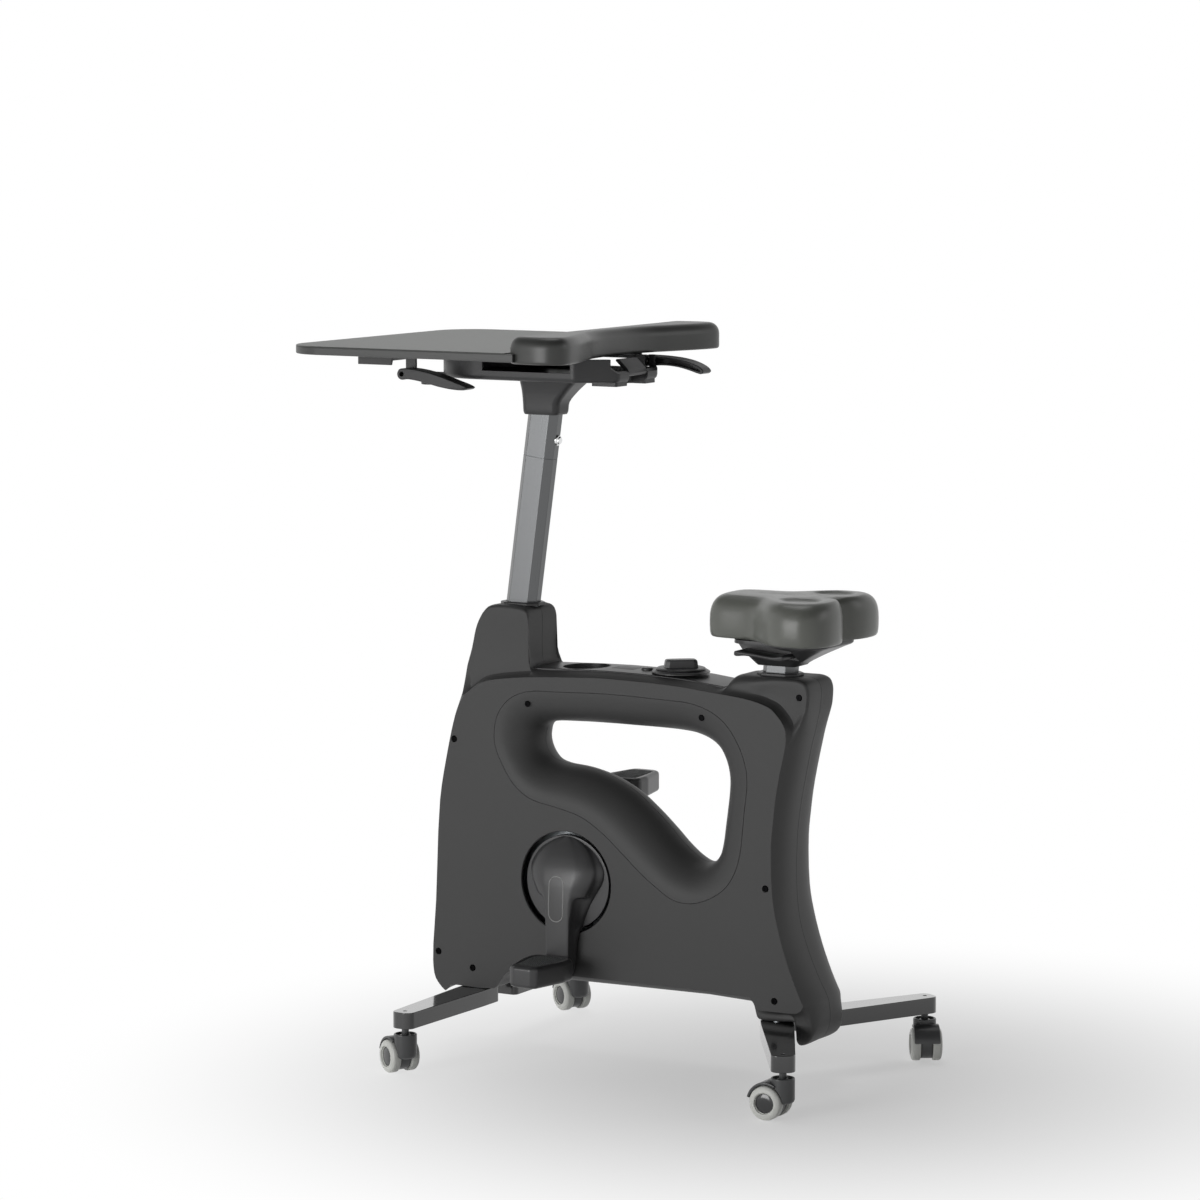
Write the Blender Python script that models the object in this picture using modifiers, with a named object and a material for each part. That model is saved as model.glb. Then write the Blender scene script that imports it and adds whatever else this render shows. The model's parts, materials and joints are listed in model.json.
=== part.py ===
"""Desk exercise bike with a folding castor base, a pull-up desk and a sprung saddle post.

The frame: +Z is up, the saddle side is +X, the desk side is -X, the rider's left is -Y.
Lengths below are millimetres and become metres when a mesh is finished.
Design x is measured from the crank axle, design y from the mid-plane, design z from the floor.
"""
import math

import bmesh
import bpy
from mathutils import Matrix, Vector

MM = 0.001
GAP = 0.3

# Floor gear
WHEEL_RADIUS = 25.0
WHEEL_FACETS = 16
HUB_HALF_WIDTH = 24.4
WHEEL_INNER = 9.4
CASTER_TRAIL = 19.0
HOOD_INNER = 26.6
HOOD_OUTER = 30.6
HOOD_HALF = 20.0
HOOD_START = 12.0
HOOD_END = 120.0
HOOD_TIP = CASTER_TRAIL + HOOD_OUTER * math.cos(math.radians(HOOD_START))
HOUSING_RADIUS = 17.6
HOUSING_TOP = 61.4
STEM_RADIUS = 5.5
LEG_BOTTOM = 71.0
LEG_TOP = 96.0
LEG_TIP_RADIUS = 17.5
PIN_RADIUS = 6.0
FRONT_STEM = (-165.0, 258.0)
FRONT_PIVOT_Y = 48.0
REAR_STEM = (464.5, 234.0)
REAR_PIVOT_Y = 42.0
REAR_LEG_SPLAY = 30.0

# Body
SEAM = 0.15
SHELL = 3.0
CHEEK_Y = 61.0
SLOT_Z = 97.0
BEAM_BOTTOM = SLOT_Z + SHELL + 2.2
BEAM_TOP = 123.7
OPENING_DEPTH = CHEEK_Y - SEAM
PLATE_IN = 21.3
PLATE = 4.0

# Desk heights, each set from the board's top
BOARD_TOP = 1093.0
BOARD = 13.0
PAD_RISE = 24.0
PAD_DROP = 16.0
PAD_REBATE = 1.5
PAD_TOP = BOARD_TOP + PAD_RISE
PAD_BOTTOM = BOARD_TOP - PAD_DROP
RAIL_PLATE = 3.8
RAIL_TOP = BOARD_TOP - BOARD - 0.4
TUB_TOP = RAIL_TOP - RAIL_PLATE - 0.4
TUB_FLOOR = TUB_TOP - 28.4
TUB_BOTTOM = TUB_FLOOR - 7.0

# Saddle heights, each set from the underside of the cushion
SADDLE_BOTTOM = 664.0
SADDLE_THICKNESS = 76.0

# Posts, both cut from one chamfered tube
TUBE_X = 53.0
TUBE_Y = 34.0
TUBE_CHAMFER = 10.5
TUBE_WALL = 2.5
SLEEVE_WALL = 3.7
COLUMN_FOOT = (-111.0, 690.0)
COLUMN_LEAN = 7.8
COLUMN_COS = math.cos(math.radians(COLUMN_LEAN))
COLUMN_ABOVE = (TUB_BOTTOM - 35.0 - COLUMN_FOOT[1]) / COLUMN_COS
COLUMN_TRAVEL = 78.0
HEAD_X = COLUMN_FOOT[0] + COLUMN_ABOVE * math.sin(math.radians(COLUMN_LEAN))
POST_FOOT = (335.0, 611.0)
POST_LEAN = 4.9
POST_ABOVE = (SADDLE_BOTTOM - 13.15 - POST_FOOT[1]) / math.cos(math.radians(POST_LEAN))
POST_BELOW = 290.0
POST_SLEEVE_BELOW = 312.0

# Drive
CRANK_Z = 276.0
CRANK_RADIUS = 124.0
CRANK_DISC = 72.5
CRANK_HOLE = 78.7
CRANK_FACE = 89.0
AXLE_RADIUS = 10.0
PULLEY_RADIUS = 90.0
FLYWHEEL_RADIUS = 95.0
FLYWHEEL_PULLEY = 18.0
FLYWHEEL_CENTRE = (-128.0, 262.0)
MAGNET_REACH = FLYWHEEL_RADIUS + 9.0
COLUMN_SLEEVE_BELOW = (COLUMN_FOOT[1] - FLYWHEEL_CENTRE[1] - MAGNET_REACH - 26.8) / COLUMN_COS
COLUMN_BELOW = COLUMN_SLEEVE_BELOW - 7.0 - COLUMN_TRAVEL
BELT_IN = 4.0
BELT_OUT = 16.0
PEDAL_START = 92.0
PEDAL_END = 193.0

# Desk and saddle
BOARD_FRONT = -385.0
BOARD_REAR = 26.0
BOARD_HALF = 258.0
SADDLE_LEVER = (372.0, SADDLE_BOTTOM - 18.0)
SADDLE_SLOT_Y = 34.0
NOSE_CENTRE = -138.0
NOSE_RADIUS = 98.0
LEFT_LEVER = (-250.0, -113.0, TUB_BOTTOM + 6.0)
RIGHT_LEVER = (58.0, 86.0, TUB_BOTTOM + 24.0)
PADDLE_PIVOT = (64.0, TUB_BOTTOM + 10.0)
PAD_START = 12.0

# How far the castors have swivelled in the photograph, degrees from +X
TRAIL = {"front_left": 150.0, "front_right": 151.0, "rear_left": 180.6, "rear_right": -58.0}


# Radius and half width along the edge of a wheel pair
WHEEL_EDGE = [(WHEEL_RADIUS, HUB_HALF_WIDTH - 4.5), (WHEEL_RADIUS - 2.8, HUB_HALF_WIDTH - 1.4), (16.0, HUB_HALF_WIDTH)]


def wheel_reach(rolling, across):
    """How far a wheel pair reaches from its centre, given the parts of the direction in use."""
    return max(radius * abs(rolling) + half * abs(across) for radius, half in WHEEL_EDGE)


def castor_reach(stem, along, across):
    """How far a castor reaches from the middle, its trail having these parts along and across."""
    wheels = CASTER_TRAIL * along + wheel_reach(along, across)
    hood = HOOD_TIP * along + HOOD_HALF * abs(across)
    return stem + max(wheels, hood)


def parts_of(corner):
    turn = math.radians(TRAIL[corner])
    return math.cos(turn), math.sin(turn)


LEFT_X, LEFT_Y = parts_of("front_left")
RIGHT_X, RIGHT_Y = parts_of("front_right")
REAR_X, REAR_Y = parts_of("rear_right")
REACH_LEFT = -castor_reach(FRONT_STEM[1], -LEFT_Y, LEFT_X)
REACH_RIGHT = castor_reach(FRONT_STEM[1], RIGHT_Y, RIGHT_X)
REACH_REAR = castor_reach(REAR_STEM[0], REAR_X, REAR_Y)
SHIFT_X = -(BOARD_FRONT + REACH_REAR) / 2
SHIFT_Y = -(REACH_LEFT + REACH_RIGHT) / 2

# Mid-plane outline and cheek outline of a body shell, with the half width of the narrow core
# between them. The last number is 1 where the section is square-shouldered at any size.
STATIONS = [
    (-236, 88, -218, 87, 55, 0),
    (-246, 104, -234, 104, 55, 0),
    (-250, 132, -239, 132, 55, 0),
    (-245, 227, -233, 227, 50, 0),
    (-236, 385, -225, 385, 50, 0),
    (-226, 448, -214, 448, 50, 0),
    (-209, 519, -197, 519, 45, 0),
    (-202, 545, -187.5, 541, 43, 0),
    (-187, 597, -178, 553.5, 43, 0),
    (-178, 626, -170, 560, 43, 0),
    (-171, 656, -161, 567, 43, 0),
    (-165, 670, -152, 572, 43, 0),
    (-157, 682, -142, 575.5, 43, 0),
    (-146, 690, -132, 578, 43, 0),
    (-92, 690, -97, 583.5, 43, 0),
    (-81, 686, -86, 584.8, 43, 0),
    (-77, 676, -78, 585.6, 43, 0),
    (-77, 614, -65, 586.8, 43, 0),
    (-73, 603, -58, 587.2, 43, 0),
    (-60, 600, -48, 588, 43, 0),
    (10, 602.5, 10, 591.5, 43, 0),
    (60, 603.6, 60, 593.6, 43, 0),
    (110, 603.2, 110, 593.2, 43, 0),
    (160, 602, 160, 592, 43, 0),
    (200, 600, 200, 590, 43, 0),
    (240, 595.5, 236, 586.8, 43, 0),
    (262, 593, 254, 585, 43, 0),
    (270, 598, 264, 584.2, 43, 0),
    (274, 607, 271, 583.6, 43, 0),
    (283, 611, 279, 583, 43, 0),
    (335, 611, 316, 578.4, 43, 0),
    (370, 611, 338, 573, 43, 0),
    (387, 610.5, 350, 568, 43, 0),
    (398, 606, 358, 561.5, 43, 0),
    (403, 595, 366, 553, 43, 0),
    (403, 580, 371.5, 545, 43, 0),
    (401, 563, 375, 536, 43, 0),
    (397, 545, 376, 526, 43, 0),
    (392.5, 526, 375.2, 515, 43, 0),
    (388, 509, 372.5, 500, 45, 0),
    (381, 475, 366, 472, 50, 0),
    (374, 440, 359.5, 436, 50, 0),
    (368, 402, 355.5, 400, 50, 0),
    (364.5, 364, 352.2, 364, 50, 0),
    (364.5, 289, 354.5, 289, 50, 0),
    (370, 244, 362, 248, 50, 0),
    (384, 200, 376, 200, 50, 0),
    (404, 156, 393, 157, 50, 0),
    (414, 138, 402, 138, 50, 0),
    (419, 126, 406.5, 129, 50, 0),
    (421.5, 105, 406, 124, 50, 0),
    (419.5, 88, 402.5, 119, 50, 0),
    (410, 71, 398, 116.4, 50, 0),
    (396, 64, 394, 115, 50, 0),
    (391, 68, 389.5, 114.6, 50, 0),
    (391, 97, 379, 114.1, 50, 1),
    (360, 97, 360, 114, 52, 1),
    (327, 97.5, 329, 115, 52, 1),
    (323, 105, 325, 122, 52, 1),
    (319, 114, 319, 130, 52, 0.5),
    (312, 118, 311, 132, 50, 0),
    (10, 118, 10, 132.4, 50, 0),
    (-85, 118, -82, 131, 50, 0),
    (-108, 118, -103, 127, 50, 0),
    (-117, 114, -113, 117, 50, 0),
    (-124, 104, -121, 105, 50, 0),
    (-132, 97.5, -130, 98.5, 50, 0),
    (-203, 97, -200, 97.2, 50, 0),
    (-212, 96, -207, 96, 50, 0),
    (-217.5, 90, -211.5, 90, 52, 0),
    (-224, 87, -214.5, 87.5, 55, 0),
]

# Opening outline at the mid-plane and the outline of its flare on the cheek, point by point
OPENING = [
    ((-48, 514), (-68, 564)), ((0, 517), (-4, 567.5)), ((55, 518), (61, 570)), ((100, 518), (104, 570)),
    ((140, 518), (147, 569)), ((178, 517), (184, 568)), ((205, 514), (216, 566)), ((231, 505), (250, 556)),
    ((247, 493), (275, 539)), ((257, 474), (297, 508)), ((261, 452), (309, 476)), ((260, 430), (311, 448)),
    ((257, 405), (307, 412)), ((253.5, 380), (304, 382)), ((250, 356), (301, 353)), ((245, 338), (293, 322)),
    ((235, 325), (276, 294)), ((222, 319), (248, 274)), ((208, 320), (216, 264)), ((190, 330), (186, 267)),
    ((169, 347), (158, 283)), ((150, 366), (130, 303)), ((118, 394), (96, 332)), ((85, 418), (61, 360)),
    ((45, 436), (26, 380)), ((5, 446), (-18, 391)), ((-35, 450), (-62, 400)), ((-55, 456), (-90, 418)),
    ((-66, 467), (-111, 447)), ((-70.5, 480), (-125, 478)), ((-70, 492), (-126, 504)), ((-66.5, 503), (-119, 528)),
    ((-59, 510), (-99, 551)),
]

FRAME_PLATE = [
    (-228, BEAM_TOP + GAP), (-234, 160), (-230, 230), (-219, 385), (-205, 455), (-188, 540), (-172, 600), (-158, 655),
    (-150, 672), (-96, 672), (-93, 650), (-97, 585), (-110, 556), (-129, 530), (-133, 504), (-132, 476),
    (-118, 443), (-95, 411), (-64, 393), (-20, 384), (22, 373), (55, 354), (90, 326), (126, 295), (154, 276),
    (183, 259), (216, 255), (250, 265), (282, 288), (300, 319), (308, 352), (314, 412), (318, 448),
    (316, 480), (304, 512), (298, 540), (300, 596), (384, 596), (388, 560), (378, 510), (366, 455),
    (356, 400), (352, 364), (350.5, 326), (352, 289), (357, 244), (371, 200), (389, 160), (392, 140),
    (386, BEAM_TOP + GAP),
]

SCREW_SEATS = [(-199, 482), (-229, 147), (-167, 127), (359, 130), (343, 298)]

SADDLE_HALF = [
    (228, 0), (228.5, 22), (231, 40), (238, 52), (252, 59), (275, 61.5), (300, 62.5), (318, 65), (334, 72),
    (350, 84), (365, 96), (383, 105.5), (403, 108.5), (424, 106), (439, 96), (448, 78), (450.5, 58),
    (448.5, 36), (442, 18), (433, 6), (430, 0),
]

PALETTE = {
    "shell": ((0.060, 0.060, 0.060), 0.0, 0.55),
    "shell_dark": ((0.030, 0.030, 0.031), 0.0, 0.5),
    "tray": ((0.050, 0.050, 0.052), 0.0, 0.45),
    "alloy": ((0.36, 0.36, 0.36), 1.0, 0.35),
    "steel": ((0.30, 0.31, 0.32), 1.0, 0.4),
    "chrome": ((0.6, 0.6, 0.6), 1.0, 0.12),
    "painted": ((0.020, 0.020, 0.022), 0.3, 0.3),
    "iron": ((0.10, 0.10, 0.105), 0.8, 0.55),
    "rubber": ((0.012, 0.012, 0.012), 0.0, 0.8),
    "tyre": ((0.72, 0.73, 0.68), 0.0, 0.5),
    "hub": ((0.085, 0.086, 0.088), 0.0, 0.4),
    "board": ((0.090, 0.092, 0.085), 0.0, 0.6),
    "pad": ((0.055, 0.055, 0.055), 0.0, 0.7),
    "saddle": ((0.12, 0.12, 0.118), 0.0, 0.75),
    "crank": ((0.075, 0.076, 0.078), 0.0, 0.4),
    "brass": ((0.5, 0.36, 0.15), 1.0, 0.35),
}


def clear_scene():
    for old in list(bpy.data.objects):
        bpy.data.objects.remove(old, do_unlink=True)


def make_materials():
    made = {}
    for name, (colour, metal, rough) in PALETTE.items():
        material = bpy.data.materials.new(name)
        material.use_nodes = True
        shader = material.node_tree.nodes["Principled BSDF"]
        shader.inputs["Base Color"].default_value = (*colour, 1.0)
        shader.inputs["Metallic"].default_value = metal
        shader.inputs["Roughness"].default_value = rough
        material.diffuse_color = (*colour, 1.0)
        made[name] = material
    return made


clear_scene()
LOOKS = make_materials()
PARTS = bpy.data.collections.new("parts")
CUTTERS = bpy.data.collections.new("cutters")
bpy.context.scene.collection.children.link(PARTS)
bpy.context.scene.collection.children.link(CUTTERS)
FRAME = bpy.data.objects.new("bike_frame", None)
FRAME.location = (SHIFT_X * MM, SHIFT_Y * MM, 0)
PARTS.objects.link(FRAME)


# Mesh makers, all in millimetres

def place(axis, u, v, w):
    """Put outline coordinates u, v and depth w in space for an outline facing along the axis."""
    if axis == "x":
        return Vector((w, u, v))
    if axis == "y":
        return Vector((u, w, v))
    return Vector((u, v, w))


def add_prism(bm, outline, axis, low, high):
    base = [bm.verts.new(place(axis, u, v, low)) for u, v in outline]
    face = bm.faces.new(base)
    grown = bmesh.ops.extrude_face_region(bm, geom=[face])
    top = [item for item in grown["geom"] if isinstance(item, bmesh.types.BMVert)]
    bmesh.ops.translate(bm, verts=top, vec=place(axis, 0, 0, high - low))


def add_turned(bm, profile, axis, steps, centre=(0, 0, 0), closed=False, start=0.0):
    """Spin (radius, depth) pairs round an axis through the centre."""
    points = []
    for radius, depth in profile:
        turned = Vector((radius * math.cos(start), radius * math.sin(start), depth))
        if axis == "x":
            turned = Vector((depth, radius * math.cos(start), radius * math.sin(start)))
        if axis == "y":
            turned = Vector((radius * math.cos(start), depth, radius * math.sin(start)))
        points.append(bm.verts.new(turned + Vector(centre)))
    edges = [bm.edges.new(pair) for pair in zip(points, points[1:])]
    if closed:
        edges.append(bm.edges.new((points[-1], points[0])))
    spin_axis = {"x": (1, 0, 0), "y": (0, 1, 0), "z": (0, 0, 1)}[axis]
    bmesh.ops.spin(bm, geom=points + edges, cent=centre, axis=spin_axis, angle=2 * math.pi,
                   steps=steps, use_merge=True, use_duplicate=False)
    bmesh.ops.remove_doubles(bm, verts=bm.verts, dist=0.001)


def add_loft(bm, rings):
    """Skin matching rings and close both ends."""
    rows = [[bm.verts.new(point) for point in ring] for ring in rings]
    count = len(rows[0])
    for lower, upper in zip(rows, rows[1:]):
        for i in range(count):
            j = (i + 1) % count
            bm.faces.new((lower[i], lower[j], upper[j], upper[i]))
    bm.faces.new(rows[0])
    bm.faces.new(rows[-1])


def add_tube(bm, path, radius, sides):
    """A round cable along a bent path."""
    rings = []
    points = [Vector(p) for p in path]
    for i, point in enumerate(points):
        ahead = points[min(i + 1, len(points) - 1)] - points[max(i - 1, 0)]
        ahead.normalize()
        across = ahead.cross(Vector((0, 1, 0.2))).normalized()
        over = ahead.cross(across).normalized()
        ring = []
        for k in range(sides):
            turn = 2 * math.pi * k / sides
            ring.append(point + across * (radius * math.cos(turn)) + over * (radius * math.sin(turn)))
        rings.append(ring)
    add_loft(bm, rings)


def rounded(outline, radius, steps=3):
    """Round every corner of a polygon, one radius or one per corner."""
    radii = radius if isinstance(radius, (list, tuple)) else [radius] * len(outline)
    made = []
    count = len(outline)
    for i in range(count):
        here = Vector(outline[i])
        back = Vector(outline[i - 1]) - here
        ahead = Vector(outline[(i + 1) % count]) - here
        if radii[i] <= 0:
            made.append(tuple(here))
            continue
        half = back.angle(ahead) / 2
        run = min(radii[i] / math.tan(half), back.length * 0.49, ahead.length * 0.49)
        bend = run * math.tan(half)
        bisector = (back.normalized() + ahead.normalized()).normalized()
        centre = here + bisector * math.hypot(bend, run)
        first = here + back.normalized() * run - centre
        last = here + ahead.normalized() * run - centre
        sweep = first.angle_signed(last)
        for k in range(steps + 1):
            turn = Matrix.Rotation(-sweep * k / steps, 2)
            made.append(tuple(centre + turn @ first))
    return made


def octagon(width, depth, chamfer):
    x = width / 2
    y = depth / 2
    c = chamfer
    return [(x, -y + c), (x, y - c), (x - c, y), (-x + c, y), (-x, y - c), (-x, -y + c), (-x + c, -y), (x - c, -y)]


def circle(radius, steps, centre=(0, 0), start=0.0):
    return [(centre[0] + radius * math.cos(start + 2 * math.pi * k / steps),
             centre[1] + radius * math.sin(start + 2 * math.pi * k / steps)) for k in range(steps)]


def area(outline):
    total = 0.0
    for (ax, ay), (bx, by) in zip(outline, outline[1:] + outline[:1]):
        total += ax * by - bx * ay
    return total / 2


def offset(outline, distance):
    """Move an outline outward by a distance, inward when negative."""
    side = 1 if area(outline) > 0 else -1
    made = []
    count = len(outline)
    for i in range(count):
        here = Vector(outline[i])
        before = (here - Vector(outline[i - 1])).normalized()
        after = (Vector(outline[(i + 1) % count]) - here).normalized()
        normal_a = Vector((before.y, -before.x)) * side
        normal_b = Vector((after.y, -after.x)) * side
        middle = (normal_a + normal_b).normalized()
        stretch = 1 / max(middle.dot(normal_a), 0.6)
        made.append(tuple(here + middle * distance * stretch))
    return made


def finish(name, bm, look, origin=(0, 0, 0), lean=0.0, turn=0.0, smooth=True, crease=35.0):
    """Close a mesh, give it its look and its place under the bike frame."""
    bmesh.ops.recalc_face_normals(bm, faces=bm.faces)
    bmesh.ops.scale(bm, vec=(MM, MM, MM), verts=bm.verts)
    mesh = bpy.data.meshes.new(name)
    bm.to_mesh(mesh)
    bm.free()
    mesh.materials.append(LOOKS[look])
    obj = bpy.data.objects.new(name, mesh)
    obj.location = Vector(origin) * MM
    obj.rotation_euler = (0, math.radians(lean), math.radians(turn))
    obj.parent = FRAME
    PARTS.objects.link(obj)
    if smooth:
        mesh.shade_smooth()
        mesh.set_sharp_from_angle(angle=math.radians(crease))
    return obj


def tool(name, bm, origin=(0, 0, 0), lean=0.0, turn=0.0):
    """A hidden boolean tool."""
    obj = finish(name, bm, "steel", origin, lean, turn, smooth=False)
    PARTS.objects.unlink(obj)
    CUTTERS.objects.link(obj)
    obj.hide_render = True
    obj.display_type = "WIRE"
    return obj


def combine(obj, other, operation):
    modifier = obj.modifiers.new(other.name, "BOOLEAN")
    modifier.operation = operation
    modifier.object = other
    modifier.solver = "EXACT"


def cut(obj, other):
    combine(obj, other, "DIFFERENCE")


def fuse(obj, other):
    combine(obj, other, "UNION")


def prism_tool(name, outline, axis, low, high, origin=(0, 0, 0), lean=0.0, turn=0.0):
    bm = bmesh.new()
    add_prism(bm, outline, axis, low, high)
    return tool(name, bm, origin, lean, turn)


def turned_tool(name, profile, axis, steps, origin=(0, 0, 0), lean=0.0, turn=0.0):
    bm = bmesh.new()
    add_turned(bm, profile, axis, steps)
    return tool(name, bm, origin, lean, turn)


def drum(radius, low, high):
    return [(0, low), (radius, low), (radius, high), (0, high)]


def soften(obj, width, segments=2, angle=40.0):
    modifier = obj.modifiers.new("edges", "BEVEL")
    modifier.width = width * MM
    modifier.segments = segments
    modifier.limit_method = "ANGLE"
    modifier.angle_limit = math.radians(angle)
    modifier.use_clamp_overlap = True


# Body shells

CROWN = [(0.0, 0.0), (0.35, 0.035), (0.62, 0.217), (0.82, 0.53), (0.93, 0.79), (0.985, 0.945), (1.0, 1.0)]


def section(mid, cheek, core, square, cheek_y, start_y):
    """One cross-section of a half shell from the seam out to the cheek, as (x, z, y)."""
    mid = Vector(mid)
    cheek = Vector(cheek)
    length = (cheek - mid).length
    way = (cheek - mid) / max(length, 0.01)
    crowned = [(length * rise, max(start_y, cheek_y * out)) for out, rise in CROWN]
    r = min(6.0, length * 0.3)
    q = min(8.0, length * 0.3)
    boxed = [(0.0, start_y), (0.0, core - r), (0.3 * r, core - 0.3 * r), (r, core), (length - q, core),
             (length - 0.25 * q, core + 0.55 * (cheek_y - core)), (length, cheek_y)]
    blend = max(square, min(1.0, max(0.0, (length - 18.0) / 22.0)))
    made = []
    for (along_a, out_a), (along_b, out_b) in zip(crowned, boxed):
        along = along_a * (1 - blend) + along_b * blend
        out = out_a * (1 - blend) + out_b * blend
        point = mid + way * along
        made.append((point.x, point.y, out))
    return made


def shell_skin(inset):
    mids = offset([(s[0], s[1]) for s in STATIONS], -inset)
    cheeks = offset([(s[2], s[3]) for s in STATIONS], -inset)
    rows = []
    for station, mid, cheek in zip(STATIONS, mids, cheeks):
        rows.append(section(mid, cheek, station[4] - inset, station[5], CHEEK_Y - inset, SEAM))
    return rows


def add_shell(bm, side):
    """Closed tray-shaped half shell: outer skin, inner skin, two cheek faces and the seam rim."""
    skins = []
    for inset, kept in ((0.0, (0, 1, 2, 3, 4, 5, 6)), (SHELL, (0, 2, 3, 4, 6))):
        rows = shell_skin(inset)
        skins.append([[bm.verts.new((row[k][0], side * row[k][2], row[k][1])) for k in kept] for row in rows])
    count = len(STATIONS)
    for skin in skins:
        steps = len(skin[0])
        for i in range(count):
            j = (i + 1) % count
            for k in range(steps - 1):
                bm.faces.new((skin[i][k], skin[j][k], skin[j][k + 1], skin[i][k + 1]))
        bm.faces.new([row[-1] for row in skin])
    outer, inner = skins
    for i in range(count):
        j = (i + 1) % count
        bm.faces.new((outer[i][0], outer[j][0], inner[j][0], inner[i][0]))


FLARE = [pair[1] for pair in OPENING]
MOUTH = [pair[0] for pair in OPENING]


def tube_tool(name, foot, lean, grow, low, high):
    outline = octagon(TUBE_X + grow, TUBE_Y + grow, TUBE_CHAMFER)
    return prism_tool(name, outline, "z", low, high, (foot[0], 0, foot[1]), lean)


def leg_pivot(end):
    if end == "front":
        return FRONT_STEM[0], FRONT_PIVOT_Y
    run = (REAR_STEM[1] - REAR_PIVOT_Y) * math.tan(math.radians(REAR_LEG_SPLAY))
    return REAR_STEM[0] - run, REAR_PIVOT_Y


def make_shell(name, side):
    bm = bmesh.new()
    add_shell(bm, side)
    shell = finish(name, bm, "shell")
    near, far = sorted((side * 40.0, side * 75.0))
    cut(shell, prism_tool(name + "_opening", offset(FLARE, GAP), "y", near, far))
    cut(shell, prism_tool(name + "_crank_hole", circle(CRANK_HOLE, 40, (0, CRANK_Z)), "y", near, far))
    pocket = [(-70, -40), (262, -40), (262, 40), (-70, 40)]
    cut(shell, prism_tool(name + "_pocket", pocket, "z", 587.6, 640))
    cut(shell, tube_tool(name + "_column_hole", COLUMN_FOOT, COLUMN_LEAN, 1.6, -12, 12))
    cut(shell, tube_tool(name + "_post_hole", POST_FOOT, POST_LEAN, 1.6, -12, 12))
    holes = bmesh.new()
    for end in ("front", "rear"):
        x, y = leg_pivot(end)
        add_turned(holes, drum(PIN_RADIUS + 0.6, 80, 106), "z", 12, (x, side * y, 0))
    for x, z in SCREW_SEATS:
        seat = drum(4.5, side * (CHEEK_Y - 1.6), side * (CHEEK_Y + 3))
        add_turned(holes, seat, "y", 10, (x, 0, z))
    cut(shell, tool(name + "_holes", holes))
    return shell


def make_trim(name, side):
    """Flared wall of the opening, from the mid-plane mouth out to the cheek."""
    bm = bmesh.new()
    steps = 7
    front = []
    back = []
    mouth_back = offset(MOUTH, SHELL)
    for k in range(steps + 1):
        turn = math.pi / 2 * k / steps
        mix = 1 - math.cos(turn)
        y = SEAM + (CHEEK_Y - SEAM) * math.sin(turn)
        ring = []
        for (ax, az), (bx, bz) in zip(MOUTH, FLARE):
            ring.append((ax + (bx - ax) * mix, side * y, az + (bz - az) * mix))
        front.append(ring)
        if k not in (0, 2, 4, 7):
            continue
        y_back = SEAM + (CHEEK_Y - SHELL - SEAM) * math.sin(turn)
        ring = []
        for (ax, az), (bx, bz) in zip(mouth_back, FLARE):
            ring.append((ax + (bx - ax) * mix, side * y_back, az + (bz - az) * mix))
        back.append(ring)
    rings = front + list(reversed(back))
    rows = [[bm.verts.new(point) for point in ring] for ring in rings]
    count = len(FLARE)
    for a in range(len(rows)):
        lower = rows[a]
        upper = rows[(a + 1) % len(rows)]
        for i in range(count):
            j = (i + 1) % count
            bm.faces.new((lower[i], lower[j], upper[j], upper[i]))
    return finish(name, bm, "shell", crease=50.0)


def tray_height(x):
    heights = [(-73, 600.0), (-60, 600.2), (-30, 601.2), (10, 602.6), (60, 603.6), (110, 603.2), (160, 602.0),
               (200, 600.0), (240, 595.6), (262, 593.2)]
    for (x0, z0), (x1, z1) in zip(heights, heights[1:]):
        if x <= x1:
            return z0 + (z1 - z0) * (x - x0) / (x1 - x0)
    return heights[-1][1]


def make_tray():
    bm = bmesh.new()
    rings = []
    for x in (-69.5, -30, 10, 60, 110, 160, 200, 240, 261.5):
        top = tray_height(x)
        ring = []
        for y in (-39.6, -26, 0, 26, 39.6):
            ring.append((x, y, top - 0.9 * (y / 39.6) ** 2))
        for y in (39.6, 26, 0, -26, -39.6):
            ring.append((x, y, top - 4.0 - 0.9 * (y / 39.6) ** 2))
        rings.append(ring)
    add_loft(bm, rings)
    tray = finish("console_tray", bm, "tray")
    fuse(tray, turned_tool("cup_wall", drum(38.6, 557, 600.5), "z", 24, (2, 0, 0)))
    cut(tray, turned_tool("cup_well", [(0, 560), (35, 560), (36.3, 562), (36.3, 612), (0, 612)], "z", 24, (2, 0, 0)))
    window = rounded([(52, -14), (91, -14), (91, 14), (52, 14)], 4)
    cut(tray, prism_tool("window_seat", window, "z", 602.4, 610))
    cut(tray, turned_tool("button_hole", drum(9.3, 590, 612), "z", 20, (108, 0, 0)))
    cut(tray, turned_tool("knob_hole", drum(5.4, 590, 612), "z", 16, (166, 0, 0)))
    return tray


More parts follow.
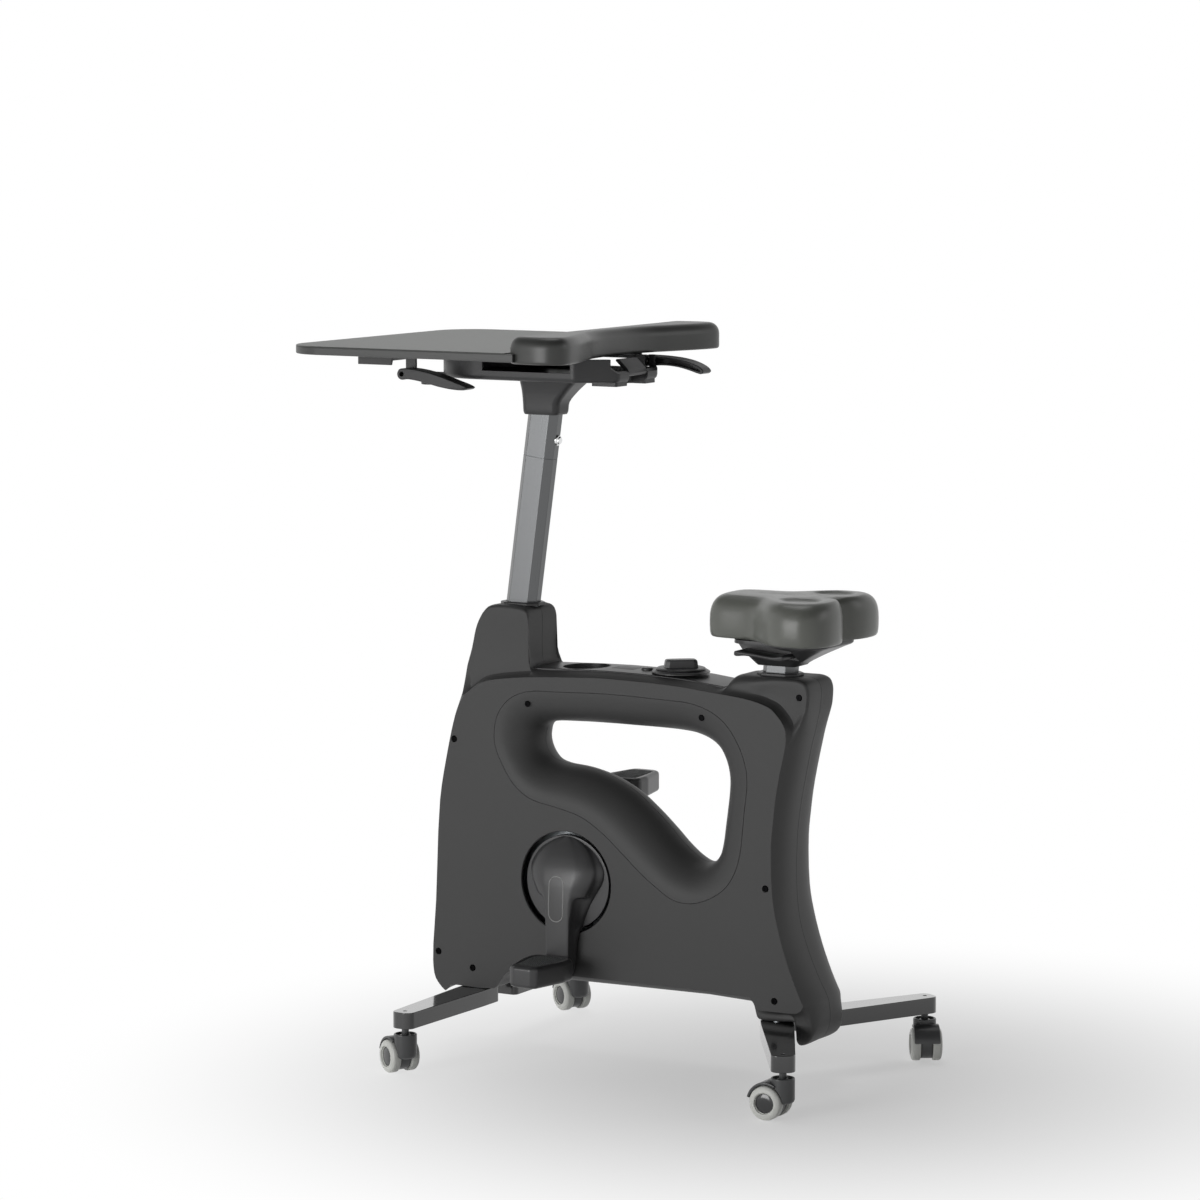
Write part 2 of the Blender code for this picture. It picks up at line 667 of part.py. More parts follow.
def make_console_bits():
    bm = bmesh.new()
    base = [(5.4, 603.5), (44, 603.5), (44, 605.6), (42.4, 607.5), (5.4, 607.5)]
    add_turned(bm, base, "z", 26, closed=True)
    finish("knob_base", bm, "shell_dark", (166, 0, 0))

    bm = bmesh.new()
    knob = [(0, 592), (5.1, 592), (5.1, 607.8), (37, 607.8), (37.6, 609), (37.2, 611.5), (34, 613.2), (0, 613.6)]
    add_turned(bm, knob, "z", 24)
    dial = finish("resistance_knob", bm, "shell_dark", (166, 0, 0))
    grip = bmesh.new()
    footprint = rounded([(-29, -9), (29, -9), (29, 9), (-29, 9)], 7, 2)
    rings = []
    for z, scale in ((612, 1.0), (619, 0.97), (622, 0.9), (623, 0.78)):
        rings.append([(x * scale, y * scale, z) for x, y in footprint])
    add_loft(grip, rings)
    fuse(dial, tool("knob_grip", grip, (166, 0, 0), turn=38))

    bm = bmesh.new()
    cap = [(0, 594), (12, 594), (12, 596), (9, 596), (9, 605.6), (7.6, 606.8), (0, 607)]
    add_turned(bm, cap, "z", 20)
    finish("console_button", bm, "shell_dark", (108, 0, 0))


# Steel frame

def make_plate(name, side):
    low, high = sorted((side * PLATE_IN, side * (PLATE_IN + PLATE)))
    bm = bmesh.new()
    add_prism(bm, FRAME_PLATE, "y", low, high)
    plate = finish(name, bm, "steel")
    holes = bmesh.new()
    add_turned(holes, drum(21.3, side * 10, side * 40), "y", 18, (0, 0, CRANK_Z))
    add_turned(holes, drum(6.4, side * 10, side * 40), "y", 12, (FLYWHEEL_CENTRE[0], 0, FLYWHEEL_CENTRE[1]))
    add_turned(holes, drum(30, side * 10, side * 40), "y", 14, (205, 0, 190))
    add_turned(holes, drum(26, side * 10, side * 40), "y", 14, (300, 0, 200))
    if side < 0:
        add_turned(holes, drum(8, side * 10, side * 40), "y", 12, (-87, 0, 386))
    cut(plate, tool(name + "_holes", holes))
    return plate


def make_sleeve(name, foot, lean, below, cap_bore):
    """Box tube that a post slides in, closed below by a cap with the spring's seat."""
    outer = octagon(TUBE_X + 0.6 + 2 * SLEEVE_WALL, 2 * (PLATE_IN - GAP), TUBE_CHAMFER)
    inner = octagon(TUBE_X + 0.6, TUBE_Y + 0.6, TUBE_CHAMFER)
    bm = bmesh.new()
    add_prism(bm, outer, "z", -below, -14)
    sleeve = finish(name, bm, "steel", (foot[0], 0, foot[1]), lean)
    cut(sleeve, prism_tool(name + "_bore", inner, "z", -below + 5, 5, (foot[0], 0, foot[1]), lean))
    cut(sleeve, turned_tool(name + "_seat", drum(cap_bore, -below - 5, -below + 9), "z", 12,
                            (foot[0], 0, foot[1]), lean))
    return sleeve


def make_collar(name, foot, lean, low, width, depth):
    bm = bmesh.new()
    outline = octagon(width, depth, TUBE_CHAMFER + 3)
    rings = []
    for z, shrink in ((low, 0.0), (low + 5.5, 0.0), (low + 7.0, 1.5)):
        smaller = offset(outline, -shrink)
        rings.append([(x, y, z) for x, y in smaller])
    add_loft(bm, rings)
    collar = finish(name, bm, "shell_dark", (foot[0], 0, foot[1]))
    cut(collar, tube_tool(name + "_bore", foot, lean, 0.7, -10, 25))
    return collar


def make_beam(name, end, x0, x1, half):
    """Cross beam inside the foot of the body, with the two leg pivot pins."""
    x, y = leg_pivot(end)
    bm = bmesh.new()
    outline = rounded([(x0, -half), (x1, -half), (x1, half), (x0, half)], 6)
    add_prism(bm, outline, "z", BEAM_BOTTOM, BEAM_TOP)
    beam = finish(name, bm, "steel")
    for side in (-1, 1):
        profile = drum(PIN_RADIUS, LEG_BOTTOM + 3, 110)
        fuse(beam, turned_tool(name + ("_pin_left" if side < 0 else "_pin_right"), profile, "z", 16,
                               (x, side * y, 0)))
    return beam


# Drive train

def make_drive():
    bm = bmesh.new()
    half = 66.0
    axle = [(0, -half), (AXLE_RADIUS - 1, -half), (AXLE_RADIUS, -half + 1), (AXLE_RADIUS, half - 1),
            (AXLE_RADIUS - 1, half), (0, half)]
    add_turned(bm, axle, "y", 16)
    finish("crank_axle", bm, "steel", (0, 0, CRANK_Z))

    for name, side in (("left_bearing", -1), ("right_bearing", 1)):
        bm = bmesh.new()
        race = [(AXLE_RADIUS + GAP, side * 19.4), (21, side * 19.4), (21, side * 25.6), (24, side * 25.6),
                (24, side * 29), (15, side * 31), (AXLE_RADIUS + GAP, side * 31)]
        add_turned(bm, race, "y", 18, closed=True)
        finish(name, bm, "chrome", (0, 0, CRANK_Z))

    bm = bmesh.new()
    r = PULLEY_RADIUS
    wheel = [(AXLE_RADIUS + GAP, 3.0), (18, 3.0), (18, 12.0), (r - 8, 12.0), (r - 8, BELT_IN), (r, BELT_IN),
             (r, BELT_OUT), (AXLE_RADIUS + GAP, BELT_OUT)]
    add_turned(bm, wheel, "y", 30, closed=True)
    pulley = finish("drive_pulley", bm, "shell_dark", (0, 0, CRANK_Z))
    holes = bmesh.new()
    for k in range(4):
        turn = math.pi * k / 2
        add_turned(holes, drum(17, 2, 18), "y", 10, (50 * math.cos(turn), 0, 50 * math.sin(turn)))
    cut(pulley, tool("pulley_holes", holes, (0, 0, CRANK_Z)))

    bm = bmesh.new()
    f = FLYWHEEL_RADIUS
    p = FLYWHEEL_PULLEY
    wheel = [(6.4, -18.0), (14, -18.0), (14, -11.0), (f - 25, -11.0), (f - 25, -16.0), (f, -16.0),
             (f, -2.0), (14, -2.0), (14, BELT_IN), (p, BELT_IN), (p, BELT_OUT + 1.0), (6.4, BELT_OUT + 1.0)]
    add_turned(bm, wheel, "y", 30, closed=True)
    finish("flywheel", bm, "iron", (FLYWHEEL_CENTRE[0], 0, FLYWHEEL_CENTRE[1]))

    bm = bmesh.new()
    add_turned(bm, drum(6.0, -34, 34), "y", 14)
    finish("flywheel_axle", bm, "steel", (FLYWHEEL_CENTRE[0], 0, FLYWHEEL_CENTRE[1]))

    bm = bmesh.new()
    inner = belt_path(0.5, 26)
    outer = belt_path(2.7, 26)
    rows = []
    for path, y in ((inner, BELT_IN + 1.4), (outer, BELT_IN + 1.4), (outer, BELT_OUT - 1.4), (inner, BELT_OUT - 1.4)):
        rows.append([bm.verts.new((x, y, z)) for x, z in path])
    count = len(inner)
    for a in range(4):
        for i in range(count):
            j = (i + 1) % count
            bm.faces.new((rows[a][i], rows[a][j], rows[(a + 1) % 4][j], rows[(a + 1) % 4][i]))
    finish("drive_belt", bm, "rubber")

    make_magnet_bracket()
    make_cable()


def belt_path(clear, steps):
    """Open belt round the crank pulley and the flywheel's small pulley."""
    cx, cz = 0.0, CRANK_Z
    fx, fz = FLYWHEEL_CENTRE
    big = PULLEY_RADIUS + clear
    small = FLYWHEEL_PULLEY + clear
    gap = math.hypot(fx - cx, fz - cz)
    base = math.atan2(fz - cz, fx - cx)
    wrap = math.acos((big - small) / gap)
    path = []
    for k in range(steps + 1):
        turn = base + wrap + (2 * math.pi - 2 * wrap) * k / steps
        path.append((cx + big * math.cos(turn), cz + big * math.sin(turn)))
    for k in range(6):
        turn = base - wrap + 2 * wrap * k / 5
        path.append((fx + small * math.cos(turn), fz + small * math.sin(turn)))
    return path


MAGNET_PIVOT = (-62.0, 356.0)


def make_magnet_bracket():
    """Fork that carries the brake magnets over the flywheel rim."""
    fx, fz = FLYWHEEL_CENTRE
    px, pz = MAGNET_PIVOT
    outline = []
    for k in range(9):
        turn = math.radians(60 + 52 * k / 8)
        outline.append((fx + 104 * math.cos(turn) - px, fz + 104 * math.sin(turn) - pz))
    for k in range(9):
        turn = math.radians(112 - 52 * k / 8)
        outline.append((fx + 76 * math.cos(turn) - px, fz + 76 * math.sin(turn) - pz))
    outline.append((-8, -9))
    outline.append((7, -7))
    outline.append((8, 7))
    outline.append((-4, 9))
    bm = bmesh.new()
    add_prism(bm, outline, "y", -20.6, 1.4)
    bracket = finish("magnet_bracket", bm, "steel", (px, 0, pz))
    groove = drum(FLYWHEEL_RADIUS + 2.5, -18.2, -0.6)
    cut(bracket, turned_tool("magnet_groove", groove, "y", 48, (fx, 0, fz)))
    cut(bracket, turned_tool("magnet_pivot_bore", drum(3.2, -24, 6), "y", 12, (px, 0, pz)))


def make_cable():
    """Brake cable from the resistance knob down to the magnet bracket."""
    path = [(150, -12, 597), (150, -20, 585), (146, -27, 560), (136, -29, 545), (118, -30, 540), (60, -30, 540),
            (0, -30, 540), (-50, -30, 541), (-78, -30, 536), (-93, -30, 522), (-99, -30, 500), (-100, -30, 460),
            (-97, -30, 425), (-91, -30, 402), (-88, -28, 392), (-87, -22, 385), (-86, -15, 376), (-86, -11.5, 366),
            (-86, -11, 361)]
    bm = bmesh.new()
    add_tube(bm, path, 2.0, 6)
    finish("tension_cable", bm, "rubber")


def crank_section(k, half, flat, face, back):
    """Section of the domed crank arm at distance k below the axle, as (x, y) with y outward."""
    rise = face - back
    if k < 20:
        shoulder = flat + (half - flat) * 0.62
    else:
        shoulder = flat + (half - flat) * 0.22
    return [(-half, back), (-half, back + rise * 0.18), (-(half * 0.45 + shoulder * 0.55), back + rise * 0.42),
            (-shoulder, back + rise * 0.72), (-flat, face - 1.2), (-flat * 0.6, face), (0, face + 0.4),
            (flat * 0.6, face), (flat, face - 1.2), (shoulder, back + rise * 0.72),
            (half * 0.45 + shoulder * 0.55, back + rise * 0.42), (half, back + rise * 0.18), (half, back)]


def make_crank(name, side, way):
    """Crank disc, domed arm and pedal eye in one casting. way is -1 for an arm that hangs down."""
    bm = bmesh.new()
    disc = [(AXLE_RADIUS + GAP, 40), (16, 40), (16, 47), (CRANK_DISC, 47),
            (CRANK_DISC, 54), (CRANK_DISC - 1.5, 55.5), (AXLE_RADIUS + GAP, 55.5)]
    add_turned(bm, [(r, side * d) for r, d in disc], "y", 32, closed=True)
    crank = finish(name, bm, "crank", (0, 0, CRANK_Z))
    table = [(-70.5, 10, 5, 57, 50), (-64, 28, 13, 61, 50), (-52, 46, 22, 68.5, 50), (-38, 57, 28, 76, 50),
             (-22, 64, 31, 82.5, 50), (-5, 62, 29, 86.5, 50), (12, 52, 25, 88, 50), (30, 41, 22, 88.7, 50),
             (48, 33, 20.6, 89, 50), (63, 28, 20, 89, 50), (72, 26, 20, 89, 66), (92, 22.5, 19.6, 89, 66),
             (118, 21, 19.2, 89, 66), (132, 18.5, 16.5, 88.6, 66), (140, 14, 12, 88, 66), (144.5, 8, 6.5, 87, 66.5)]
    rings = []
    for k, half, flat, face, back in table:
        ring = crank_section(k, half, flat, face, back)
        rings.append([(x, side * y, way * k) for x, y in ring])
    arm = bmesh.new()
    add_loft(arm, rings)
    fuse(crank, tool(name + "_arm", arm, (0, 0, CRANK_Z)))
    bore = bmesh.new()
    add_turned(bore, drum(AXLE_RADIUS + GAP, side * 30, side * 66.4), "y", 20)
    cut(crank, tool(name + "_axle_bore", bore, (0, 0, CRANK_Z)))
    eye = bmesh.new()
    add_turned(eye, drum(6.3, side * 69, side * 95), "y", 14, (0, 0, way * CRANK_RADIUS))
    cut(crank, tool(name + "_eye", eye, (0, 0, CRANK_Z)))
    return crank


def make_pedal(name, side, way):
    centre = (0, 0, CRANK_Z + way * CRANK_RADIUS)
    spindle = bmesh.new()
    profile = [(0, 69.5), (6, 69.5), (6, 89.6), (8, 89.8), (8, 91.4), (5, 91.6), (5, 184), (0, 184)]
    add_turned(spindle, [(r, side * d) for r, d in profile], "y", 14)
    finish(name + "_spindle", spindle, "steel", centre)

    half = [(PEDAL_START, 28), (95, 33), (106, 37.5), (126, 37.5), (158, 31.5), (180, 26.5), (188, 24), (192, 20),
            (PEDAL_END, 14)]
    outline = [(w, side * y) for y, w in half] + [(-w, side * y) for y, w in reversed(half)]
    bm = bmesh.new()
    rings = []
    for z, shrink in ((-16.5, 4.5), (-14.5, 1.5), (-11, 0), (11, 0), (14.5, 1.5), (16.5, 4.5)):
        rings.append([(x, y, z) for x, y in offset(outline, -shrink)])
    add_loft(bm, rings)
    pedal = finish(name, bm, "crank", centre)
    cut(pedal, turned_tool(name + "_bore", [(r, side * d) for r, d in drum(5.3, 84, 186)], "y", 14, centre))
    grip = bmesh.new()
    seat = [(side * 0 + x * 0.72, side * y) for y, x in ((102, -34), (128, -33), (172, -25), (172, 25), (128, 33),
                                                         (102, 34))]
    add_prism(grip, rounded(seat, 4, 2), "z", 15.3, 20)
    add_prism(grip, rounded(seat, 4, 2), "z", -20, -15.3)
    cut(pedal, tool(name + "_grip_seats", grip, centre))
    return pedal


# Folding legs and castors

def make_leg(name, end, side):
    """Tapered bar from its pivot pin out to the castor stem, local x along the bar."""
    px, py = leg_pivot(end)
    stem = FRONT_STEM if end == "front" else REAR_STEM
    length = math.hypot(stem[0] - px, stem[1] - py)
    turn = math.degrees(math.atan2(side * (stem[1] - py), stem[0] - px))
    outline = [(-25, -25), (26, -25), (length + 15, -LEG_TIP_RADIUS), (length + 15, LEG_TIP_RADIUS), (26, 25),
               (-25, 25)]
    outline = rounded(outline, [9, 0, 13, 13, 0, 9], 4)
    bm = bmesh.new()
    rings = []
    for z, shrink in ((LEG_BOTTOM, 0.0), (LEG_TOP - 0.8, 0), (LEG_TOP, 0.8)):
        rings.append([(x, y, z) for x, y in offset(outline, -shrink)])
    add_loft(bm, rings)
    leg = finish(name, bm, "painted", (px, side * py, 0), turn=turn)
    bores = bmesh.new()
    add_turned(bores, drum(PIN_RADIUS + GAP, LEG_BOTTOM + 2.4, LEG_TOP + 5), "z", 14)
    add_turned(bores, drum(STEM_RADIUS + GAP, LEG_BOTTOM - 5, 89), "z", 14, (length, 0, 0))
    cut(leg, tool(name + "_bores", bores, (px, side * py, 0), turn=turn))
    return leg


def make_castor(corner, stem, side):
    """Swivel housing with its stem and hood, and the twin wheels on one axle. Local x trails."""
    at = (stem[0], side * stem[1], 0)
    turn = TRAIL[corner]
    bm = bmesh.new()
    body = [(0, 24), (14.6, 24), (HOUSING_RADIUS, 27.5), (HOUSING_RADIUS, HOUSING_TOP - 0.6),
            (HOUSING_RADIUS - 0.6, HOUSING_TOP), (14.4, HOUSING_TOP), (13.8, 57), (STEM_RADIUS, 57),
            (STEM_RADIUS, 88.5), (0, 88.5)]
    add_turned(bm, body, "z", 16)
    fork = finish(corner + "_castor_fork", bm, "hub", at, turn=turn)
    hood = bmesh.new()
    outline = []
    for radius, first, last in ((HOOD_OUTER, HOOD_START, HOOD_END), (HOOD_INNER, HOOD_END, HOOD_START)):
        for k in range(6):
            a = math.radians(first + (last - first) * k / 5)
            outline.append((CASTER_TRAIL + radius * math.cos(a), WHEEL_RADIUS + radius * math.sin(a)))
    add_prism(hood, outline, "y", -HOOD_HALF, HOOD_HALF)
    fuse(fork, tool(corner + "_hood", hood, at, turn=turn))
    web = bmesh.new()
    add_turned(web, drum(22.0, -8.6, 8.6), "y", 12, (CASTER_TRAIL, 0, WHEEL_RADIUS))
    fuse(fork, tool(corner + "_web", web, at, turn=turn))
    room = bmesh.new()
    for direction in (-1, 1):
        add_turned(room, drum(26.4, direction * 8.8, direction * 32), "y", 16, (CASTER_TRAIL, 0, WHEEL_RADIUS))
    add_turned(room, drum(3.4, -9.5, 9.5), "y", 10, (CASTER_TRAIL, 0, WHEEL_RADIUS))
    cut(fork, tool(corner + "_wheel_room", room, at, turn=turn))

    wheels = bmesh.new()
    facet = 1 / math.cos(math.pi / WHEEL_FACETS)
    edge = [(radius * facet, -half) for radius, half in reversed(WHEEL_EDGE)]
    profile = [(0, -HUB_HALF_WIDTH)] + edge + [(WHEEL_RADIUS * facet, -WHEEL_INNER), (3, -WHEEL_INNER)]
    profile += [(q, -d) for q, d in reversed(profile)]
    middle = (at[0] + CASTER_TRAIL * math.cos(math.radians(turn)),
              at[1] + CASTER_TRAIL * math.sin(math.radians(turn)), WHEEL_RADIUS)
    add_turned(wheels, profile, "y", WHEEL_FACETS, start=math.pi / WHEEL_FACETS)
    finish(corner + "_wheels", wheels, "tyre", middle, turn=turn)


# Saddle

def make_saddle():
    outline = SADDLE_HALF + [(x, -y) for x, y in reversed(SADDLE_HALF[1:-1])]
    bm = bmesh.new()
    rings = []
    levels = ((0, 0.10), (0.026, 0.04), (0.13, 0.012), (0.5, 0.0), (0.7, 0.016), (0.84, 0.07), (0.934, 0.17),
              (0.987, 0.34), (1, 0.56))
    for rise, pull in levels:
        z = SADDLE_BOTTOM + SADDLE_THICKNESS * rise
        ring = []
        for x, y in outline:
            spine = 280 + (x - 228) / 222 * 130
            lobe = max(0.0, min(1.0, (x - 330) / 60))
            tx = spine
            ty = y * 0.45 * lobe
            ring.append((x + (tx - x) * pull - 335, y + (ty - y) * pull, z))
        rings.append(ring)
    add_loft(bm, rings)
    finish("saddle_cushion", bm, "saddle", (335, 0, 0))


def make_saddle_gear():
    bm = bmesh.new()
    rings = []
    for drop, x0, x1, half, corner in ((42, 306, 371, 25, 9), (38, 303, 374, 28, 11), (24, 294, 395, 42, 18),
                                       (9, 284, 424, 62, 28), (4, 281, 434, 67, 30), (0.4, 281, 434, 67, 30)):
        ring = rounded([(x0, -half), (x1, -half), (x1, half), (x0, half)], corner, 4)
        rings.append([(x, y, SADDLE_BOTTOM - drop) for x, y in ring])
    add_loft(bm, rings)
    bracket = finish("saddle_bracket", bm, "shell_dark")
    cut(bracket, tube_tool("bracket_socket", POST_FOOT, POST_LEAN, 0.6, -10, POST_ABOVE + GAP))
    slot = [(274, -23), (384, -25.5), (384, -9), (344, -2.6), (274, -1.5)]
    slot = [(x, SADDLE_BOTTOM + z) for x, z in slot]
    cut(bracket, prism_tool("lever_slot", slot, "y", -90, -SADDLE_SLOT_Y))
    cut(bracket, turned_tool("spring_seat", drum(8.4, POST_ABOVE - 5, POST_ABOVE + 8), "z", 14,
                             (POST_FOOT[0], 0, POST_FOOT[1]), POST_LEAN))

    post_outer = octagon(TUBE_X, TUBE_Y, TUBE_CHAMFER)
    post_inner = octagon(TUBE_X - 2 * TUBE_WALL, TUBE_Y - 2 * TUBE_WALL, TUBE_CHAMFER - 1.2)
    bm = bmesh.new()
    add_prism(bm, post_outer, "z", -POST_BELOW, POST_ABOVE)
    post = finish("saddle_post", bm, "alloy", (POST_FOOT[0], 0, POST_FOOT[1]), POST_LEAN)
    cut(post, prism_tool("saddle_post_bore", post_inner, "z", -POST_BELOW - 5, POST_ABOVE + 5,
                         (POST_FOOT[0], 0, POST_FOOT[1]), POST_LEAN))

    bm = bmesh.new()
    low = -POST_SLEEVE_BELOW
    barrel = [(0, low + 20), (4.6, low + 20), (4.6, -47), (11, -47), (11, low + 9.4), (7.6, low + 5.4),
              (7.6, low - 4), (0, low - 4)]
    add_turned(bm, barrel, "z", 16)
    finish("saddle_spring_cylinder", bm, "painted", (POST_FOOT[0], 0, POST_FOOT[1]), POST_LEAN)

    bm = bmesh.new()
    rod = [(0, POST_ABOVE + 7.6), (8, POST_ABOVE + 7.6), (8, POST_ABOVE - 4), (4.2, POST_ABOVE - 6), (4.2, -284),
           (0, -284)]
    add_turned(bm, rod, "z", 14)
    finish("saddle_spring_rod", bm, "chrome", (POST_FOOT[0], 0, POST_FOOT[1]), POST_LEAN)

    blade = [(-76, -0.5), (-60, 0), (-44, -0.6), (-28, -2.5), (-10, -4.4), (4, -3.6), (5.5, 0), (4, 3.6),
             (-10, 1.6), (-28, 2.6), (-44, 4.2), (-60, 5.4), (-76, 6)]
    bm = bmesh.new()
    add_prism(bm, blade, "y", -74, -SADDLE_SLOT_Y - GAP)
    finish("saddle_lever", bm, "shell_dark", (SADDLE_LEVER[0], 0, SADDLE_LEVER[1]))


# Desk

def make_desk_gear():
    at = (COLUMN_FOOT[0], 0, COLUMN_FOOT[1])
    bm = bmesh.new()
    add_prism(bm, octagon(TUBE_X, TUBE_Y, TUBE_CHAMFER), "z", -COLUMN_BELOW, COLUMN_ABOVE)
    column = finish("column", bm, "alloy", at, COLUMN_LEAN)
    inner = octagon(TUBE_X - 2 * TUBE_WALL, TUBE_Y - 2 * TUBE_WALL, TUBE_CHAMFER - 1.2)
    cut(column, prism_tool("column_bore", inner, "z", -COLUMN_BELOW - 5, COLUMN_ABOVE + 5, at, COLUMN_LEAN))

    bm = bmesh.new()
    low = 19 - COLUMN_BELOW
    barrel = [(0, 130), (4.6, 130), (4.6, low), (11, low), (11, COLUMN_ABOVE - 8), (8, COLUMN_ABOVE - 6),
              (8, COLUMN_ABOVE + 5), (0, COLUMN_ABOVE + 5)]
    add_turned(bm, barrel, "z", 16)
    finish("desk_spring_cylinder", bm, "painted", at, COLUMN_LEAN)

    low = -COLUMN_SLEEVE_BELOW
    bm = bmesh.new()
    rod = [(0, low - 4), (7.6, low - 4), (7.6, low + 9), (4.2, low + 11), (4.2, 20), (0, 20)]
    add_turned(bm, rod, "z", 14)
    finish("desk_spring_rod", bm, "chrome", at, COLUMN_LEAN)

    bm = bmesh.new()
    rings = []
    for drop, x0, x1, half, corner in ((56, -33.2, 36.8, 27, 11), (52, -36.7, 39.8, 30, 12), (36, -40.2, 40.8, 34, 13),
                                       (20, -44.2, 49.8, 40, 15), (4, -48.2, 61.8, 46, 17), (0.4, -48.2, 61.8, 46, 17)):
        ring = rounded([(x0, -half), (x1, -half), (x1, half), (x0, half)], corner, 4)
        rings.append([(HEAD_X + x, y, TUB_BOTTOM - drop) for x, y in ring])
    add_loft(bm, rings)
    head = finish("column_head", bm, "shell_dark")
    socket_low = COLUMN_ABOVE - 48
    cut(head, tube_tool("head_socket", COLUMN_FOOT, COLUMN_LEAN, 0.6, socket_low, COLUMN_ABOVE + GAP))
    cut(head, turned_tool("head_spring_seat", drum(8.4, COLUMN_ABOVE - 5, COLUMN_ABOVE + 6), "z", 14, at,
                          COLUMN_LEAN))

    # The carriage is a shallow tub that carries the levers and guides the rail plate
    bm = bmesh.new()
    nose = circle(NOSE_RADIUS, 12, (NOSE_CENTRE, 0), math.pi / 2)[:7]
    tail = rounded([(NOSE_CENTRE, -98), (36, -98), (92, -62), (92, 62), (36, 98), (NOSE_CENTRE, 98)],
                   [0, 16, 14, 14, 16, 0], 2)
    outer = nose + tail[1:-1]
    low_ring = offset(outer, -5)
    rings = [[(x, y, TUB_BOTTOM) for x, y in low_ring], [(x, y, TUB_BOTTOM + 3) for x, y in offset(outer, -1)],
             [(x, y, TUB_FLOOR) for x, y in outer], [(x, y, TUB_TOP) for x, y in outer]]
    add_loft(bm, rings)
    carriage = finish("desk_carriage", bm, "shell_dark")
    well = bmesh.new()
    add_prism(well, offset(outer, -4), "z", TUB_FLOOR, TUB_TOP + 15)
    cut(carriage, tool("carriage_well", well))
    ear = [(50, 66), (66, 66), (66, 71.4), (50, 71.4)]
    fuse(carriage, prism_tool("lever_ear", ear, "z", TUB_BOTTOM + 3, TUB_TOP - 0.4))
    disc = drum(42, TUB_BOTTOM - 10.5, TUB_BOTTOM + 3.5)
    fuse(carriage, turned_tool("nose_disc", disc, "z", 24, (NOSE_CENTRE - NOSE_RADIUS + 2, 0, 0)))
    slots = bmesh.new()
    side_slot = [(-112, TUB_BOTTOM + 14), (28, TUB_BOTTOM + 14), (28, TUB_BOTTOM + 27), (-112, TUB_BOTTOM + 27)]
    add_prism(slots, side_slot, "y", -120, -80)
    add_prism(slots, side_slot, "y", 80, 120)
    paddle_slot = rounded([(60, -28), (110, -28), (110, 28), (60, 28)], 5, 2)
    add_prism(slots, paddle_slot, "z", TUB_BOTTOM - 4, TUB_TOP + 15)
    lever_slot = [(47, 71.6), (110, 71.6), (110, 110), (47, 110)]
    add_prism(slots, lever_slot, "z", TUB_BOTTOM + 16.2, TUB_TOP + 15)
    cut(carriage, tool("carriage_slots", slots))

    bm = bmesh.new()
    paddle = [(-3.6, -1), (0, -2.4), (22, -2.4), (33, 3), (37, 12), (37, 23.5), (33.5, 24.5), (32, 14), (27, 6.5),
              (20, 2), (0, 2), (-3.6, 2.6)]
    add_prism(bm, paddle, "y", -27.6, 27.6)
    finish("desk_paddle", bm, "shell_dark", (PADDLE_PIVOT[0], 0, PADDLE_PIVOT[1]))

    # The rail plate slides along the carriage and carries the board
    bm = bmesh.new()
    plate = rounded([(-352, -100), (20, -100), (20, 100), (-352, 100)], 8, 3)
    add_prism(bm, plate, "z", RAIL_TOP - RAIL_PLATE, RAIL_TOP)
    rail = finish("desk_rail", bm, "steel")
    for word, side in (("left", -1), ("right", 1)):
        y0, y1 = sorted((side * 86, side * 90))
        rib = [(-352, -23.6), (-292, -23.6), (-290, -13.6), (-262, -13.6), (-262, -1.6), (-352, -1.6)]
        rib = [(x, RAIL_TOP + z) for x, z in rib]
        fuse(rail, prism_tool("rail_rib_" + word, rib, "y", y0, y1))
    ear = [(-9, -37.6), (9, -37.6), (9, -2.6), (-9, -2.6)]
    ear = [(LEFT_LEVER[0] + x, RAIL_TOP + z) for x, z in ear]
    fuse(rail, prism_tool("rail_lever_ear", ear, "y", -99.7, -95.5))
    front = [(-352, RAIL_TOP - 23.6), (-348, RAIL_TOP - 23.6), (-348, RAIL_TOP - 1.6), (-352, RAIL_TOP - 1.6)]
    fuse(rail, prism_tool("rail_rib_front", front, "y", -88, 88))

    for name, side in (("left_desk_lever", -1), ("right_desk_lever", 1)):
        make_desk_lever(name, side)

    bm = bmesh.new()
    outline = rounded([(BOARD_FRONT, -BOARD_HALF), (BOARD_REAR, -BOARD_HALF), (BOARD_REAR, BOARD_HALF),
                       (BOARD_FRONT, BOARD_HALF)], [55, 0, 0, 55], 8)
    rings = []
    for z, shrink in ((BOARD_TOP - BOARD, 1.2), (BOARD_TOP - BOARD + 1.2, 0), (BOARD_TOP - 1.6, 0),
                      (BOARD_TOP - 0.4, 0.6), (BOARD_TOP, 1.8)):
        rings.append([(max(x, BOARD_FRONT) if x < 0 else BOARD_REAR, y, z) for x, y in offset(outline, -shrink)])
    add_loft(bm, rings)
    board = finish("desktop", bm, "board")
    seat = [(PAD_START - GAP, BOARD_TOP - PAD_REBATE), (BOARD_REAR + 5, BOARD_TOP - PAD_REBATE),
            (BOARD_REAR + 5, BOARD_TOP + 5), (PAD_START - GAP, BOARD_TOP + 5)]
    cut(board, prism_tool("pad_rebate", seat, "y", -BOARD_HALF - 5, BOARD_HALF + 5))
    make_wrist_pad()


